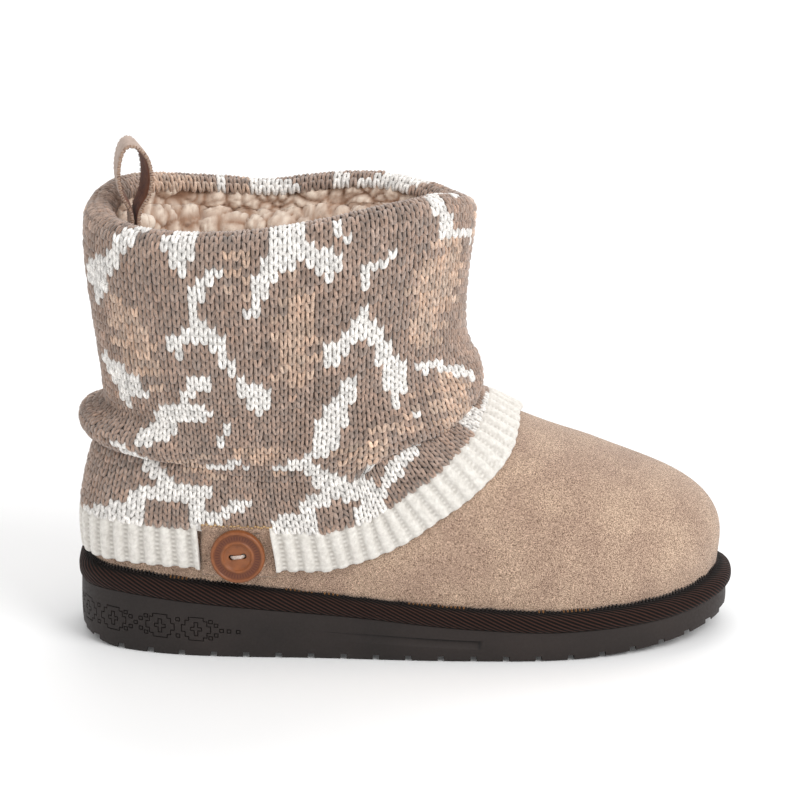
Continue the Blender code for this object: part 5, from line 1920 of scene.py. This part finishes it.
def make_pull_loop(strap, gold):
    """The folded strap at the back of the collar, with small stitches over both its edges."""
    line = loop_path()
    tangent = unit(np.gradient(line, axis=0))
    normal = np.stack([tangent[:, 1], -tangent[:, 0]], 1)
    turn = np.linspace(0, 2 * pi, 41)[:-1]
    c, s = np.cos(turn), np.sin(turn)
    thick = np.sign(c) * np.abs(c) ** 0.35 * LOOP_PLY / 2
    wide = np.sign(s) * np.abs(s) ** 0.9 * LOOP_WIDTH / 2
    side = np.abs(wide) / (LOOP_WIDTH / 2)
    thick = thick * (1 - 0.25 * side**8)
    rows = np.stack([
        np.column_stack([x + out_x * thick, wide, z + out_z * thick])
        for (x, z), (out_x, out_z) in zip(line, normal)
    ])
    ends = [rows[k].mean(0) + (rows[k] - rows[k].mean(0)) * (0, 1, 0) for k in (0, -1)]
    grid = loop_placed(np.concatenate([ends[:1], rows, ends[1:]]))
    loop = laid_grid("strap_loop", grid, around=True)
    mark_nearest(loop, "inside", grid, np.tile((c < -0.35).astype(float), (len(grid), 1)))
    edit(loop, face_out)
    finish_piece(loop, strap, "loop_strap", "pull_loop")

    run = distances(line)
    at = np.arange(WHIP_FREE, run[-1] - WHIP_FREE, WHIP_STEP)
    middle, out = read_along(line, run, at), unit(read_along(normal, run, at))
    points, along, facing = [], [], []
    for edge in (-1, 1):
        for i, ((x, z), (out_x, out_z)) in enumerate(zip(middle, out)):
            lean = WHIP_LEANS[i % 2]
            points.append((x, edge * (LOOP_WIDTH / 2 - 0.1), z))
            along.append((out_x - lean * out_z, 0, out_z + lean * out_x))
            facing.append((0, edge, 0))
    foot = loop_placed(np.zeros(3))
    along, facing = (loop_placed(np.array(part, float)) - foot for part in (along, facing))
    frames = frames_along(loop_placed(np.array(points)), along, facing)
    stitches = copies_of(bead(2.0, 0.62, 0.5, 5, 4), "loop_whipping", frames)
    finish_piece(stitches, gold, "loop_strap")


# ==== Studio, in metres ====

FLOOR_SIZE = 14
LOOK_AT = (0, 0, 0.100)
VIEW_DISTANCE = 1.9
VIEW_HEIGHT = 17.5  # degrees above level
VIEW_LENS = 201.35
VIEW_SHIFT = -0.006875  # of the frame's width
LIGHTS = (
    # name, place, size, power
    ("key", (1.35, -1.25, 1.6), 1.6, 30.0),
    ("fill", (-1.4, -1.4, 1.2), 1.8, 1.5),
    ("back", (0.3, 1.6, 1.8), 1.8, 20.0),
)
ROOM_LIGHT = 0.75


def make_studio():
    """A pale floor, the camera at the view's own angle, and soft light from three sides."""
    floor = added(bpy.ops.mesh.primitive_plane_add, size=FLOOR_SIZE, location=(0, 0, 0))
    floor.name = floor.data.name = "studio_floor"
    material, shading, shader, place = new_material(
        "pale floor", 0.9, Specular_IOR_Level=0.1, Emission_Strength=0.05)
    faint = shading.noise(place, 3.0, 2.0, 0.5)
    pale = shading.ramp(faint, (0.0, (0.90, 0.90, 0.90)), (1.0, (0.92, 0.92, 0.92)))
    shading.plug(shader, Base_Color=pale)
    floor.data.materials.append(material)

    height = radians(VIEW_HEIGHT)
    aim = Vector(LOOK_AT)
    place = aim + VIEW_DISTANCE * Vector((0, -cos(height), sin(height)))
    camera = added(bpy.ops.object.camera_add, location=place, rotation=(pi / 2 - height, 0, 0))
    camera.name = "camera"
    camera.data.lens = VIEW_LENS
    camera.data.sensor_width = 36.0
    camera.data.shift_x = VIEW_SHIFT
    camera.data.clip_end = 30.0
    bpy.context.scene.camera = camera

    for name, place, size, power in LIGHTS:
        place = Vector(place)
        turn = (aim - place).to_track_quat("-Z", "Y").to_euler()
        light = added(bpy.ops.object.light_add, type="AREA", location=place, rotation=turn)
        light.name = name
        light.data.shape = "DISK"
        light.data.size = size
        light.data.energy = power
    world = bpy.data.worlds.new("studio")
    world.use_nodes = True
    background = world.node_tree.nodes["Background"]
    background.inputs["Color"].default_value = (1, 1, 1, 1)
    background.inputs["Strength"].default_value = ROOM_LIGHT
    bpy.context.scene.world = world
    bpy.context.scene.view_settings.view_transform = "Standard"


# ==== All of it ====

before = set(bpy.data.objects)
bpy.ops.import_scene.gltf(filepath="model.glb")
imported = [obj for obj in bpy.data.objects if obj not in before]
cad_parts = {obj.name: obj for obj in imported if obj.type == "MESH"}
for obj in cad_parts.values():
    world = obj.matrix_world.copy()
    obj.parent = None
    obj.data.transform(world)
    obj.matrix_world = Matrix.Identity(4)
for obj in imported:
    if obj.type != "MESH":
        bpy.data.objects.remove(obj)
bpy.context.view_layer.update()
deselect()


def main():
    pile = pile_group()
    threads = {name: thread_material(f"{name} thread", tone(*light), tone(*dark))
               for name, light, dark in THREADS}
    tan_suede, tab_suede = (
        suede_material(name, pile, tone(*light), tone(*dark), warm)
        for name, light, dark, warm in SUEDES
    )
    make_studio()
    make_outsole(rubber_material())
    make_midsole_wrap(twill_material(pile))
    make_seam_stitches(threads["dark"], threads["gold"])
    make_suede_upper(tan_suede)
    fleece = fleece_material(pile)
    make_fleece_lining(fleece)
    make_insole(fleece)
    knit = Knit()
    make_knit(knit, yarn_material(pile))
    make_rib(knit, rib_material(pile))
    make_tab(tab_suede, threads["tab"])
    make_button(resin_material(), threads["button"])
    make_pull_loop(strap_material(pile), threads["whipping"])


main()
